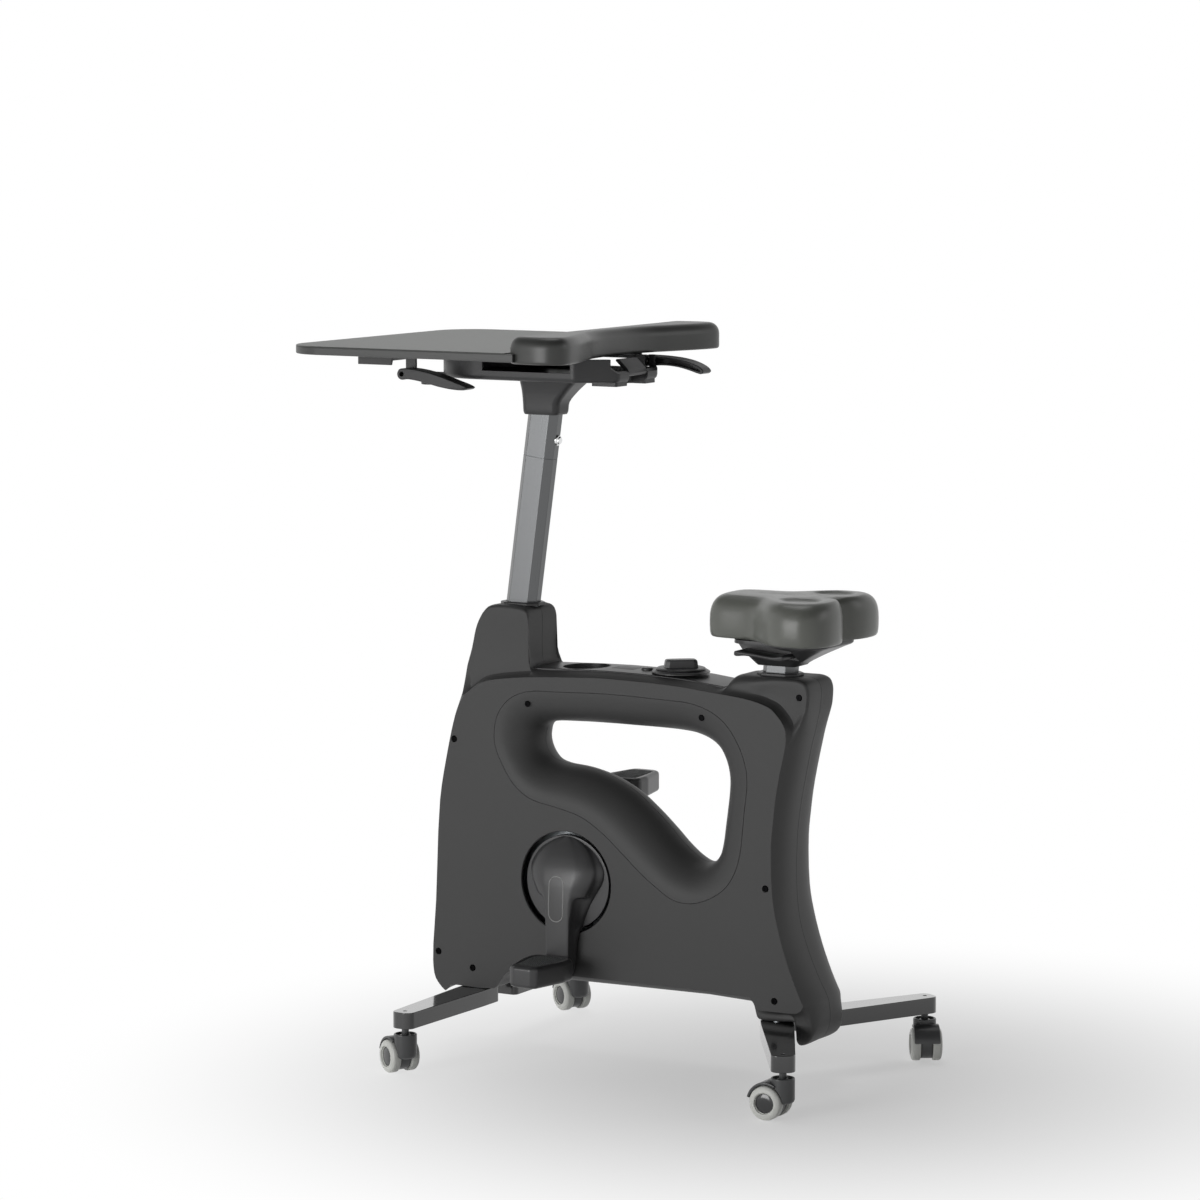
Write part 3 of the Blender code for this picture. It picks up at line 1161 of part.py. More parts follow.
def make_desk_lever(name, side):
    """Pull lever with a round pivot boss and a curved blade, local origin on its pivot."""
    if side < 0:
        blade = [(-8.8, 0), (-6.5, -6), (-1, -8.8), (8, -7.6), (36, -11), (66, -17.5), (94, -21), (112, -20.5),
                 (116, -17.5), (110, -14), (94, -9), (68, -1), (40, 5.4), (18, 8.4), (3, 8.8), (-5, 7.2)]
        origin = LEFT_LEVER
        low, high = -13.0, 13.0
    else:
        blade = [(-7, -3), (0, -7), (16, -6), (40, -6.5), (62, -11), (80, -17.5), (94, -22.5), (101, -23), (104, -19),
                 (100, -12.5), (84, -3), (62, 5), (38, 9.5), (14, 10), (-2, 9), (-7, 4)]
        origin = RIGHT_LEVER
        low, high = -14.3, 13.0
    bm = bmesh.new()
    rings = []
    for y, shrink in ((low, 1.2), (low + 1.2, 0), (high - 1.2, 0), (high, 1.2)):
        rings.append([(x, y, z) for x, z in offset(blade, -shrink)])
    add_loft(bm, rings)
    lever = finish(name, bm, "shell_dark", origin)
    hollow = offset(blade, -3.0)
    if side < 0:
        cut(lever, turned_tool(name + "_bore", drum(4.0, low - 2, high + 2), "y", 14, origin))
        return lever
    cut(lever, prism_tool(name + "_hollow", hollow[1:-1], "y", low - 2, low + 10, origin))
    cut(lever, turned_tool(name + "_bore", drum(3.2, low - 2, high + 2), "y", 12, origin))
    return lever


PAD_HALF = [(PAD_START, 0), (PAD_START, 150), (PAD_START, 238), (16, 246), (26, 252), (44, 255), (62, 253), (74, 246), (79, 234), (79, 214),
            (75, 192), (66, 168), (55, 142), (46, 116), (40, 88), (38, 50), (38, 0)]


def make_wrist_pad():
    outline = PAD_HALF + [(x, -y) for x, y in reversed(PAD_HALF[1:-1])]
    bm = bmesh.new()
    rings = []
    for z, shrink in ((PAD_BOTTOM, 2.2), (PAD_BOTTOM + 2.2, 0), (PAD_TOP - 13, 0), (PAD_TOP - 7, 1.6),
                      (PAD_TOP - 2.5, 5.0), (PAD_TOP - 0.4, 9.0), (PAD_TOP, 12.0)):
        rings.append([(x, y, z) for x, y in offset(outline, -shrink)])
    add_loft(bm, rings)
    pad = finish("wrist_pad", bm, "pad")
    notch = bmesh.new()
    add_prism(notch, [(-20, BOARD_TOP - BOARD - GAP), (BOARD_REAR + GAP, BOARD_TOP - BOARD - GAP),
                      (BOARD_REAR + GAP, BOARD_TOP - PAD_REBATE + GAP), (-20, BOARD_TOP - PAD_REBATE + GAP)],
              "y", -270, 270)
    cut(pad, tool("pad_board_notch", notch))
    rail_room = bmesh.new()
    room = [(-20, PAD_BOTTOM - 7), (21, PAD_BOTTOM - 7), (21, BOARD_TOP - BOARD + 1), (-20, BOARD_TOP - BOARD + 1)]
    add_prism(rail_room, room, "y", -101, 101)
    cut(pad, tool("pad_rail_notch", rail_room))


for shell_name, shell_side in (("left_shell", -1), ("right_shell", 1)):
    make_shell(shell_name, shell_side)
make_trim("left_opening_trim", -1)
make_trim("right_opening_trim", 1)
make_tray()
make_console_bits()
make_plate("left_frame_plate", -1)
make_plate("right_frame_plate", 1)
make_sleeve("column_sleeve", COLUMN_FOOT, COLUMN_LEAN, COLUMN_SLEEVE_BELOW, 8.0)
make_sleeve("saddle_sleeve", POST_FOOT, POST_LEAN, POST_SLEEVE_BELOW, 8.0)
make_collar("column_collar", COLUMN_FOOT, COLUMN_LEAN, GAP, 68, 49)
make_collar("saddle_collar", POST_FOOT, POST_LEAN, GAP, 68, 49)
make_beam("front_beam", "front", -202, -141, 54)
make_beam("rear_beam", "rear", 333, 386, 45)
make_drive()
for crank_name, crank_side, crank_way in (("left_crank", -1, -1), ("right_crank", 1, 1)):
    make_crank(crank_name, crank_side, crank_way)
make_pedal("left_pedal", -1, -1)
make_pedal("right_pedal", 1, 1)
for leg_end in ("front", "rear"):
    for leg_word, leg_side in (("left", -1), ("right", 1)):
        corner_name = leg_end + "_" + leg_word
        make_leg(corner_name + "_leg", leg_end, leg_side)
        make_castor(corner_name, FRONT_STEM if leg_end == "front" else REAR_STEM, leg_side)
make_saddle_gear()
make_saddle()
make_desk_gear()
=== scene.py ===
"""Looks for a desk exercise bike, laid out as an add-on for Blender and run as a script.

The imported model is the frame. Lengths here are millimetres in the bike's own axes: x runs back from
the crank axle to the saddle, y to the rider's right, z up from the floor.
"""
import json
import math

import bmesh
import bpy
import numpy as np
from mathutils import Matrix, Vector
from mathutils.bvhtree import BVHTree

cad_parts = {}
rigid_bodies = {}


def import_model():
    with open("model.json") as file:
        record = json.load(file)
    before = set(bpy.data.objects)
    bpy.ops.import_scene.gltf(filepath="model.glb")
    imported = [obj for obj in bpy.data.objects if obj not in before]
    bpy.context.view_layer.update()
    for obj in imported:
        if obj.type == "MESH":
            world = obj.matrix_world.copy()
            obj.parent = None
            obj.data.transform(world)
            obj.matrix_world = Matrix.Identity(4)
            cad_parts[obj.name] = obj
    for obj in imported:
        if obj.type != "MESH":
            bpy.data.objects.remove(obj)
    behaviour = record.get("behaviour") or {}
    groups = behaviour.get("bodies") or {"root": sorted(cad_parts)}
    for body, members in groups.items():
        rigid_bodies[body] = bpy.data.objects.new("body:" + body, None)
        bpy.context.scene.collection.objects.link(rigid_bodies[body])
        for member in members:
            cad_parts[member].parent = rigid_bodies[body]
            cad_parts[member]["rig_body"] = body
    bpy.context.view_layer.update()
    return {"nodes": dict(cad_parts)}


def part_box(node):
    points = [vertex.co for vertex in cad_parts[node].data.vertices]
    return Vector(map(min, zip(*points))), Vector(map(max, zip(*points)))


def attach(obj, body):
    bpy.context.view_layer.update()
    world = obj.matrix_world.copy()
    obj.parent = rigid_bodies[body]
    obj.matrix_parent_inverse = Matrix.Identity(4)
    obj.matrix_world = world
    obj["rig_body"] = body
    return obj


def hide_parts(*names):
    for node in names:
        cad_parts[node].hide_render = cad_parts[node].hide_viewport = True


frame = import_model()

bl_info = {
    "name": "Desk exercise bike looks",
    "version": (1, 0, 0),
    "blender": (4, 5, 0),
    "location": "3D View > Sidebar > Desk bike",
    "description": "Moulded shells, soft parts, castors and finishes around the packed desk bike",
    "category": "Object",
}

NODES = frame["nodes"]
MM = 0.001
AXLE_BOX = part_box("crank_axle")
HOME = Vector(((AXLE_BOX[0].x + AXLE_BOX[1].x) / 2, (AXLE_BOX[0].y + AXLE_BOX[1].y) / 2, 0.0))
SIDES = (("left", -1), ("right", 1))
FLYWHEEL_AXLE = (-128.0, 262.0)
FLYWHEEL_RADIUS = 104.0
POST_WIDTH = 53.0
FINISH = {}


# Materials

def add(tree, kind, links=None, values=None, out=0):
    """Add one node, set its properties and inputs, wire its inputs, and give back one output."""
    made = tree.nodes.new(kind if "Node" in kind else "ShaderNode" + kind)
    for key, value in (values or {}).items():
        if isinstance(key, int) or key in made.inputs:
            made.inputs[key].default_value = value
        else:
            setattr(made, key, value)
    for key, source in (links or {}).items():
        tree.links.new(source, made.inputs[key])
    return made.outputs[out] if made.outputs else made


def combine(tree, operation, first, second):
    return add(tree, "Math", {0: first, 1: second}, {"operation": operation})


def eased(tree, value, low, high, at_low, at_high):
    """Change smoothly from one value to another while an input goes from low to high."""
    return add(tree, "MapRange", {"Value": value}, {"From Min": low, "From Max": high, "To Min": at_low,
                                                    "To Max": at_high, "interpolation_type": "SMOOTHSTEP"})


def new_finish(name, **sockets):
    """A material named for the real finish, with its shader and the object's own coordinates."""
    material = bpy.data.materials.new(name)
    material.use_nodes = True
    tree = material.node_tree
    shader = tree.nodes["Principled BSDF"]
    for key, value in sockets.items():
        shader.inputs[key.replace("_", " ")].default_value = value
    FINISH[name] = material
    return tree, shader, add(tree, "TexCoord", out="Object")


def tinted(code, change=0.0):
    """An sRGB hex colour such as #4b4b4b in linear values, made lighter or darker by a share."""
    parts = [int(code[i:i + 2], 16) / 255 for i in (1, 3, 5)]
    plain = [c / 12.92 if c <= 0.04045 else ((c + 0.055) / 1.055) ** 2.4 for c in parts]
    return (*[min(1.0, c * (1 + change)) for c in plain], 1.0)


def toned(tree, shader, pattern, low, high):
    """Vary the base colour between two colours, each a value or another output."""
    ends = {6: low, 7: high}
    links = {key: end for key, end in ends.items() if not isinstance(end, tuple)}
    values = {key: end for key, end in ends.items() if isinstance(end, tuple)}
    mix = add(tree, "Mix", {0: pattern, **links}, {"data_type": "RGBA", **values}, 2)
    tree.links.new(mix, shader.inputs["Base Color"])


def textured(tree, shader, pattern, low, high, strength, depth, top=1.0, invert=False):
    """Take the roughness, from low to high, and the bump from one pattern."""
    gloss = add(tree, "MapRange", {"Value": pattern}, {"From Max": top, "To Min": low, "To Max": high})
    bump = add(tree, "Bump", {"Height": pattern},
               {"Strength": strength, "Distance": depth * MM, "invert": invert})
    tree.links.new(gloss, shader.inputs["Roughness"])
    tree.links.new(bump, shader.inputs["Normal"])


def moulded(name, code, rough, grain, depth, mottle=0.06, **sockets):
    """A moulded or sprayed skin: fine grain in the bump, and slow changes of tone and gloss."""
    tree, shader, coords = new_finish(name, **sockets)
    fine = add(tree, "TexNoise", {"Vector": coords}, {"Scale": 1000 / grain, "Detail": 3.0, "Roughness": 0.6})
    slow = add(tree, "TexNoise", {"Vector": coords}, {"Scale": 7.0, "Detail": 4.0})
    toned(tree, shader, slow, tinted(code, -mottle), tinted(code, mottle))
    textured(tree, shader, fine, rough - 0.05, rough + 0.05, 0.9, depth)


def drawn_metal(name, code, rough, pitch, lean=0.0):
    """A metal with fine lines along its own length, from an extrusion die or a brush."""
    tree, shader, coords = new_finish(name, Metallic=1.0)
    turn = add(tree, "Mapping", {"Vector": coords}, {"Rotation": (0, math.radians(-lean), 0)})
    stretch = add(tree, "Mapping", {"Vector": turn}, {"Scale": (1000 / pitch, 1000 / pitch, 12.0)})
    lines = add(tree, "TexNoise", {"Vector": stretch}, {"Scale": 1.0, "Detail": 3.0})
    toned(tree, shader, lines, tinted(code, -0.05), tinted(code, 0.05))
    textured(tree, shader, lines, rough - 0.07, rough + 0.07, 0.35, 0.02)


def turned_metal(name, code, rough, centre, pitch):
    """A lathe-turned face: rings round an axle that runs across the bike."""
    tree, shader, coords = new_finish(name, Metallic=1.0, Base_Color=tinted(code))
    spot = Vector((centre[0], 0, centre[1])) * MM + HOME
    moved = add(tree, "Mapping", {"Vector": coords}, {"Location": (-spot.x, 0, -spot.z), "Scale": (1, 0, 1)})
    radius = add(tree, "VectorMath", {0: moved}, {"operation": "LENGTH"}, "Value")
    rings = add(tree, "TexNoise", {"W": radius},
                {"noise_dimensions": "1D", "Scale": 1000 / pitch, "Detail": 2.0})
    textured(tree, shader, rings, rough - 0.1, rough + 0.1, 0.5, 0.04)


def grained(name, code, rough, cell, depth, **sockets):
    """A skin with pebbled cells, as on moulded foam and coated cloth."""
    tree, shader, coords = new_finish(name, **sockets)
    warp = add(tree, "TexNoise", {"Vector": coords}, {"Scale": 420 / cell, "Detail": 2.0}, "Color")
    bent = add(tree, "VectorMath", {0: warp, 2: coords}, {"operation": "MULTIPLY_ADD", 1: (0.0012,) * 3})
    cells = add(tree, "TexVoronoi", {"Vector": bent},
                {"feature": "SMOOTH_F1", "Scale": 1000 / cell, "Smoothness": 0.6}, "Distance")
    slow = add(tree, "TexNoise", {"Vector": coords}, {"Scale": 9.0, "Detail": 5.0})
    toned(tree, shader, slow, tinted(code, -0.07), tinted(code, 0.07))
    textured(tree, shader, cells, rough - 0.05, rough + 0.07, 0.8, depth, top=0.8, invert=True)


def laminate(name, code, rough, side_and_under_colour):
    """Speckled print under a pebbled wear layer, as on a desk top, on the faces that point up; every other face takes
    one plain darker colour.
    """
    tree, shader, coords = new_finish(name)
    speck = add(tree, "TexNoise", {"Vector": coords},
                {"Scale": 1000 / 1.6, "Detail": 4.0, "Roughness": 0.75})
    ramp = add(tree, "ValToRGB", {"Fac": speck})
    for stop, (spot, change) in enumerate(((0.35, -0.16), (0.68, 0.2))):
        ramp.node.color_ramp.elements[stop].position = spot
        ramp.node.color_ramp.elements[stop].color = tinted(code, change)
    # Faces that do not point up, the sides and the underside, take the darker colour instead of the print.
    facing = add(tree, "SeparateXYZ", {0: add(tree, "NewGeometry", out="True Normal")}, out="Z")
    flat = add(tree, "MapRange", {"Value": facing}, {"From Min": 0.4, "From Max": 0.7})
    toned(tree, shader, flat, tinted(side_and_under_colour), ramp)
    textured(tree, shader, speck, rough - 0.08, rough + 0.08, 0.7, 0.12)


def make_finishes():
    # ABS from a spark-eroded mould: even matt grain. It is 0.2 mm and drawn at 0.9 mm so that it shows.
    moulded("abs_eroded_matt", "#4a4a4a", 0.5, 0.9, 0.03, Specular_IOR_Level=0.3)
    # Satin ABS of the console: the same resin from a smoother mould.
    moulded("abs_satin", "#343435", 0.38, 1.2, 0.012)
    # Glass-filled nylon: satin, with the faint flow mottling of short fibres.
    moulded("nylon_glass_filled", "#3a3a3b", 0.36, 1.6, 0.02, mottle=0.1, Specular_IOR_Level=0.35)
    # Mid-grey nylon of the cranks and pedals, softly glossy on the domes.
    moulded("nylon_satin_grey", "#3e3e3f", 0.34, 1.4, 0.012)
    # Polypropylene of the castor housings: waxy, between matt and gloss.
    moulded("polypropylene_waxy", "#4c4d4e", 0.3, 1.8, 0.01)
    # Powder coat on the legs: slight orange peel under a clear, mirror-like skin.
    moulded("powder_coat_gloss", "#232324", 0.16, 3.0, 0.008, mottle=0.03, Coat_Weight=1.0, Coat_Roughness=0.09)
    # Polyurethane tread: off-white and slightly waxy.
    moulded("polyurethane_tread", "#e6e7e2", 0.42, 1.2, 0.01, mottle=0.02)
    # Neoprene belt and cable jacket: soot black and dry.
    moulded("neoprene_dry", "#1c1c1c", 0.72, 0.8, 0.03)
    # Dark acrylic window with an anti-glare face: it stays dark at a low angle.
    moulded("acrylic_smoked", "#101112", 0.4, 2.5, 0.004, Specular_IOR_Level=0.2)
    # Integral-skin foam of the saddle: pebbled like leather, with cells of 1.5 mm.
    grained("foam_skin_pebbled", "#6c6e68", 0.3, 1.5, 0.05, Sheen_Weight=0.15)
    # Wrist pad: a finer, flatter skin from the same kind of foam.
    grained("foam_skin_fine", "#393a38", 0.34, 1.1, 0.03)
    # Anodised aluminium of both posts: satin, with die lines along the tube.
    drawn_metal("aluminium_anodised", "#626364", 0.3, 0.9, lean=7.8)
    # Zinc-plated sheet and tube: cool grey with rolling lines.
    drawn_metal("steel_zinc_plated", "#9fa3a6", 0.38, 1.6)
    # Pale grey of the bead round the crank's inlay: painted highlight, standing for the light that the inlay's edge
    # catches, kept flat so that it reads as a printed line.
    moulded("inlay_painted_highlight", "#a9aaa8", 0.5, 0.8, 0.005, mottle=0.02)
    # Grip rubber on the pedals: a paler grey than the pedal, and matt.
    moulded("rubber_grip", "#606262", 0.62, 0.8, 0.02)
    # Hub caps in dark polished nylon, which mirror the room in curved streaks.
    moulded("hub_gloss", "#2c2d2e", 0.16, 2.5, 0.003, Coat_Weight=0.5)
    # Baked black enamel on the rail plate: satin over sheet steel.
    moulded("steel_black_coat", "#262626", 0.4, 1.4, 0.012)
    # Chromium on the column button, bearings and rods: near mirror.
    drawn_metal("chromium_polished", "#dcdddd", 0.12, 3.0)
    # Black-oxide screws: dark metal with a dull sheen, made near black as painted shade of the deep holes they sit
    # in.
    drawn_metal("black_oxide_and_hole_shade", "#0c0c0d", 0.32, 1.0)
    # Cast iron flywheel, turned on its faces.
    turned_metal("iron_turned", "#5a5a5c", 0.42, FLYWHEEL_AXLE, 1.1)
    laminate("laminate_pebbled", "#646763", 0.42, "#424342")


# Outlines, in millimetres

def clamp(value):
    return max(0.0, min(1.0, value))


def spread(points, steps, closed=True):
    """Points on a centripetal curve through a list of points of any number of values."""
    points = np.array(points, float)
    if not closed:
        points = np.vstack((2 * points[0] - points[1], points, 2 * points[-1] - points[-2]))
    count = len(points)
    made = []
    for i in range(count) if closed else range(1, count - 2):
        p = [points[(i + k - 1) % count] for k in range(4)]
        t = [0.0]
        for a, b in zip(p, p[1:]):
            t.append(t[-1] + max(float(np.linalg.norm(b - a)), 1e-6) ** 0.5)
        for s in range(steps):
            u = t[1] + (t[2] - t[1]) * s / steps
            row = p
            for width in (1, 2):
                row = [((t[k + width] - u) * row[k] + (u - t[k]) * row[k + 1]) / (t[k + width] - t[k])
                       for k in range(len(row) - 1)]
            made.append(((t[2] - u) * row[0] + (u - t[1]) * row[1]) / (t[2] - t[1]))
    if not closed:
        made.append(points[-2])
    return [tuple(float(v) for v in row) for row in made]


def rounded(outline, radius, steps=5):
    """Round every corner of a polygon, with one radius or one for each corner."""
    radii = radius if isinstance(radius, (list, tuple)) else [radius] * len(outline)
    made = []
    for i, corner in enumerate(outline):
        here = Vector(corner)
        back = Vector(outline[i - 1]) - here
        ahead = Vector(outline[(i + 1) % len(outline)]) - here
        if radii[i] <= 0:
            made.append(tuple(here))
            continue
        half = back.angle(ahead) / 2
        run = min(radii[i] / math.tan(half), back.length * 0.49, ahead.length * 0.49)
        centre = here + (back.normalized() + ahead.normalized()).normalized() * (run / math.cos(half))
        first = here + back.normalized() * run - centre
        sweep = first.angle_signed(here + ahead.normalized() * run - centre)
        for k in range(steps + 1):
            made.append(tuple(centre + Matrix.Rotation(-sweep * k / steps, 2) @ first))
    return made


def offset(outline, distance):
    """Move an outline outward by a distance, inward when negative."""
    area = sum(a[0] * b[1] - b[0] * a[1] for a, b in zip(outline, outline[1:] + outline[:1]))
    side = 1 if area > 0 else -1
    made = []
    for i, corner in enumerate(outline):
        here = Vector(corner)
        before = (here - Vector(outline[i - 1])).normalized()
        after = (Vector(outline[(i + 1) % len(outline)]) - here).normalized()
        normals = [Vector((way.y, -way.x)) * side for way in (before, after)]
        middle = (normals[0] + normals[1]).normalized()
        made.append(tuple(here + middle * distance / max(middle.dot(normals[0]), 0.6)))
    return made


def box(x0, x1, y0, y1):
    return [(x0, y0), (x1, y0), (x1, y1), (x0, y1)]


def ends(low, high, rows):
    """(depth, shrink) levels that ease both ends alike, from rows of (distance in, shrink)."""
    return [(low + d, s) for d, s in rows] + [(high - d, s) for d, s in reversed(rows)]


def mirrored(half):
    """Close a half outline that ends on the mid-plane with its mirror image."""
    return half + [(x, -y) for x, y in reversed(half) if y]


def octagon(width, chamfer=10.5):
    """Outline of the chamfered posts and of what fits round them, 19 mm less deep than wide."""
    x, y, c = width / 2, (width - 19) / 2, chamfer
    return [(x, -y + c), (x, y - c), (x - c, y), (-x + c, y), (-x, y - c), (-x, -y + c), (-x + c, -y),
            (x - c, -y)]


def across(outline, y):
    """Set an outline of x and z at a distance across the bike."""
    return [(x, y, z) for x, z in outline]


def place(axis, u, v, w):
    """Put outline coordinates u, v and depth w in space, for an outline that faces along the axis."""
    return {"x": Vector((w, u, v)), "y": Vector((u, w, v)), "z": Vector((u, v, w))}[axis]


# Forms and pieces

def show(name, data):
    obj = bpy.data.objects.new(name, data)
    bpy.context.scene.collection.objects.link(obj)
    return obj


class Form:
    """A shape in millimetres, built up from skins and spun profiles."""

    def __init__(self):
        self.bm = bmesh.new()

    def loft(self, rings, closed=False):
        """Skin matching rings, and close both ends unless the rings join up."""
        rows = [[self.bm.verts.new(point) for point in ring] for ring in rings]
        count = len(rows[0])
        for lower, upper in zip(rows, rows[1:] + rows[:1] if closed else rows[1:]):
            for i in range(count):
                j = (i + 1) % count
                self.bm.faces.new((lower[i], lower[j], upper[j], upper[i]))
        if not closed:
            self.bm.faces.new(rows[0])
            self.bm.faces.new(rows[-1])
        return self

    def stack(self, outline, levels, axis="z"):
        """Loft one outline through (depth, shrink) levels along an axis."""
        return self.loft([[place(axis, u, v, depth) for u, v in (offset(outline, -shrink) if shrink else outline)]
                          for depth, shrink in levels])

    def prism(self, outline, low, high, axis="z"):
        return self.stack(outline, ((low, 0), (high, 0)), axis)

    def lathe(self, profile, axis="z", steps=48, centre=(0, 0, 0), closed=False, side=1):
        """Spin (radius, depth) pairs round an axis through a centre."""
        bm = self.bm
        points = [bm.verts.new(place(axis, radius, 0, side * depth)) for radius, depth in profile]
        bmesh.ops.translate(bm, verts=points, vec=centre)
        edges = [bm.edges.new(pair) for pair in zip(points, points[1:])]
        if closed:
            edges.append(bm.edges.new((points[-1], points[0])))
        bmesh.ops.spin(bm, geom=points + edges, cent=centre, axis=place(axis, 0, 0, 1), angle=math.tau,
                       steps=steps, use_merge=True, use_duplicate=False)
        bmesh.ops.remove_doubles(bm, verts=bm.verts, dist=0.002)
        return self

    def bore(self, radius, low, high, axis="z", steps=24, centre=(0, 0, 0), side=1):
        """Add a plain round pin, or the form of a plain hole."""
        return self.lathe([(0, low), (radius, low), (radius, high), (0, high)], axis, steps, centre, side=side)

    def flared(self, rows, x, z):
        """Rounded boxes of (drop, x0, x1, half width, corner) under a height, joined by a curve."""
        return self.loft([[(x + u, v, z - drop) for u, v in rounded(box(x0, x1, -half, half), corner, 8)]
                          for drop, x0, x1, half, corner in spread(rows, 3, closed=False)])

    def piece(self, name, matrix=None):
        """Turn the form into a metre object in the bike's frame."""
        bmesh.ops.recalc_face_normals(self.bm, faces=self.bm.faces)
        if matrix is not None:
            bmesh.ops.transform(self.bm, matrix=matrix, verts=self.bm.verts)
        bmesh.ops.transform(self.bm, matrix=Matrix.Translation(HOME) @ Matrix.Scale(MM, 4), verts=self.bm.verts)
        mesh = bpy.data.meshes.new(name)
        self.bm.to_mesh(mesh)
        self.bm.free()
        return show(name, mesh)


def settle(obj):
    """Turn a piece's modifiers into its mesh."""
    bpy.context.view_layer.update()
    evaluated = obj.evaluated_get(bpy.context.evaluated_depsgraph_get())
    old = obj.data
    obj.data = bpy.data.meshes.new_from_object(evaluated)
    obj.modifiers.clear()
    bpy.data.meshes.remove(old)
    obj.data.name = obj.name


def boolean(obj, form, operation="DIFFERENCE", matrix=None):
    """Cut a form away from a piece, or join it on."""
    tool = form.piece("tool", matrix)
    modifier = obj.modifiers.new("boolean", "BOOLEAN")
    modifier.operation = operation
    modifier.object = tool
    modifier.solver = "EXACT"
    settle(obj)
    bpy.data.objects.remove(tool, do_unlink=True)


def dress(obj, finish, body, node=None, sharp=35.0, edge=0.0, weigh=False):
    """Give a piece its finish, its rounded edges, its body and the node it stands for."""
    obj.data.materials.clear()
    obj.data.materials.append(FINISH[finish])
    obj.data.shade_smooth()
    obj.data.set_sharp_from_angle(angle=math.radians(sharp))
    if edge:
        bevel = obj.modifiers.new("edges", "BEVEL")
        bevel.width = edge * MM
        bevel.segments = 2
        bevel.limit_method = "ANGLE"
        bevel.angle_limit = math.radians(sharp)
    if weigh:
        obj.modifiers.new("normals", "WEIGHTED_NORMAL").keep_sharp = True
    if edge or weigh:
        settle(obj)
    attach(obj, body)
    if node:
        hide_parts(node)


def on_points(name, words, build):
    """Geometry nodes that set a built shape on every point of a mesh."""
    group = bpy.data.node_groups.new(name, "GeometryNodeTree")
    face = group.interface
    face.new_socket("Points", in_out="INPUT", socket_type="NodeSocketGeometry")
    sockets = {}
    for word in words + ("Finish",):
        kind = "NodeSocketMaterial" if word == "Finish" else "NodeSocketFloat"
        sockets[word] = face.new_socket(word, in_out="INPUT", socket_type=kind).identifier
    face.new_socket("Shapes", in_out="OUTPUT", socket_type="NodeSocketGeometry")
    start = add(group, "NodeGroupInput").node.outputs
    placed = add(group, "GeometryNodeInstanceOnPoints", {"Points": start["Points"], **build(group, start)})
    real = add(group, "GeometryNodeRealizeInstances", {0: placed})
    done = add(group, "GeometryNodeSetMaterial", {"Geometry": real, "Material": start["Finish"]})
    add(group, "NodeGroupOutput", {0: done})
    return group, sockets


def grow(obj, group, sockets, **values):
    """Run a group of geometry nodes on a piece."""
    modifier = obj.modifiers.new("grown", "NODES")
    modifier.node_group = group
    for word, value in values.items():
        modifier[sockets[word]] = value
    settle(obj)


def number(name, default, description, **limits):
    return bpy.props.FloatProperty(name=name, default=default, description=description, **limits)


# Stage

class BikeStageValues(bpy.types.PropertyGroup):
    azimuth: number("Azimuth", 30.0, "Camera turn round the bike")
    elevation: number("Elevation", 6.8, "Camera height angle")
    distance: number("Distance", 6.6811, "Camera to the point it looks at", unit="LENGTH")
    lens: number("Lens", 131.9, "Focal length in millimetres")
    bright: number("Bright side", 0.8, "Room light from the camera's left")
    dark: number("Dark side", 0.09, "Room light from the camera's right")
    ceiling: number("Ceiling", 0.15, "Room light from above, as a share of the walls'")


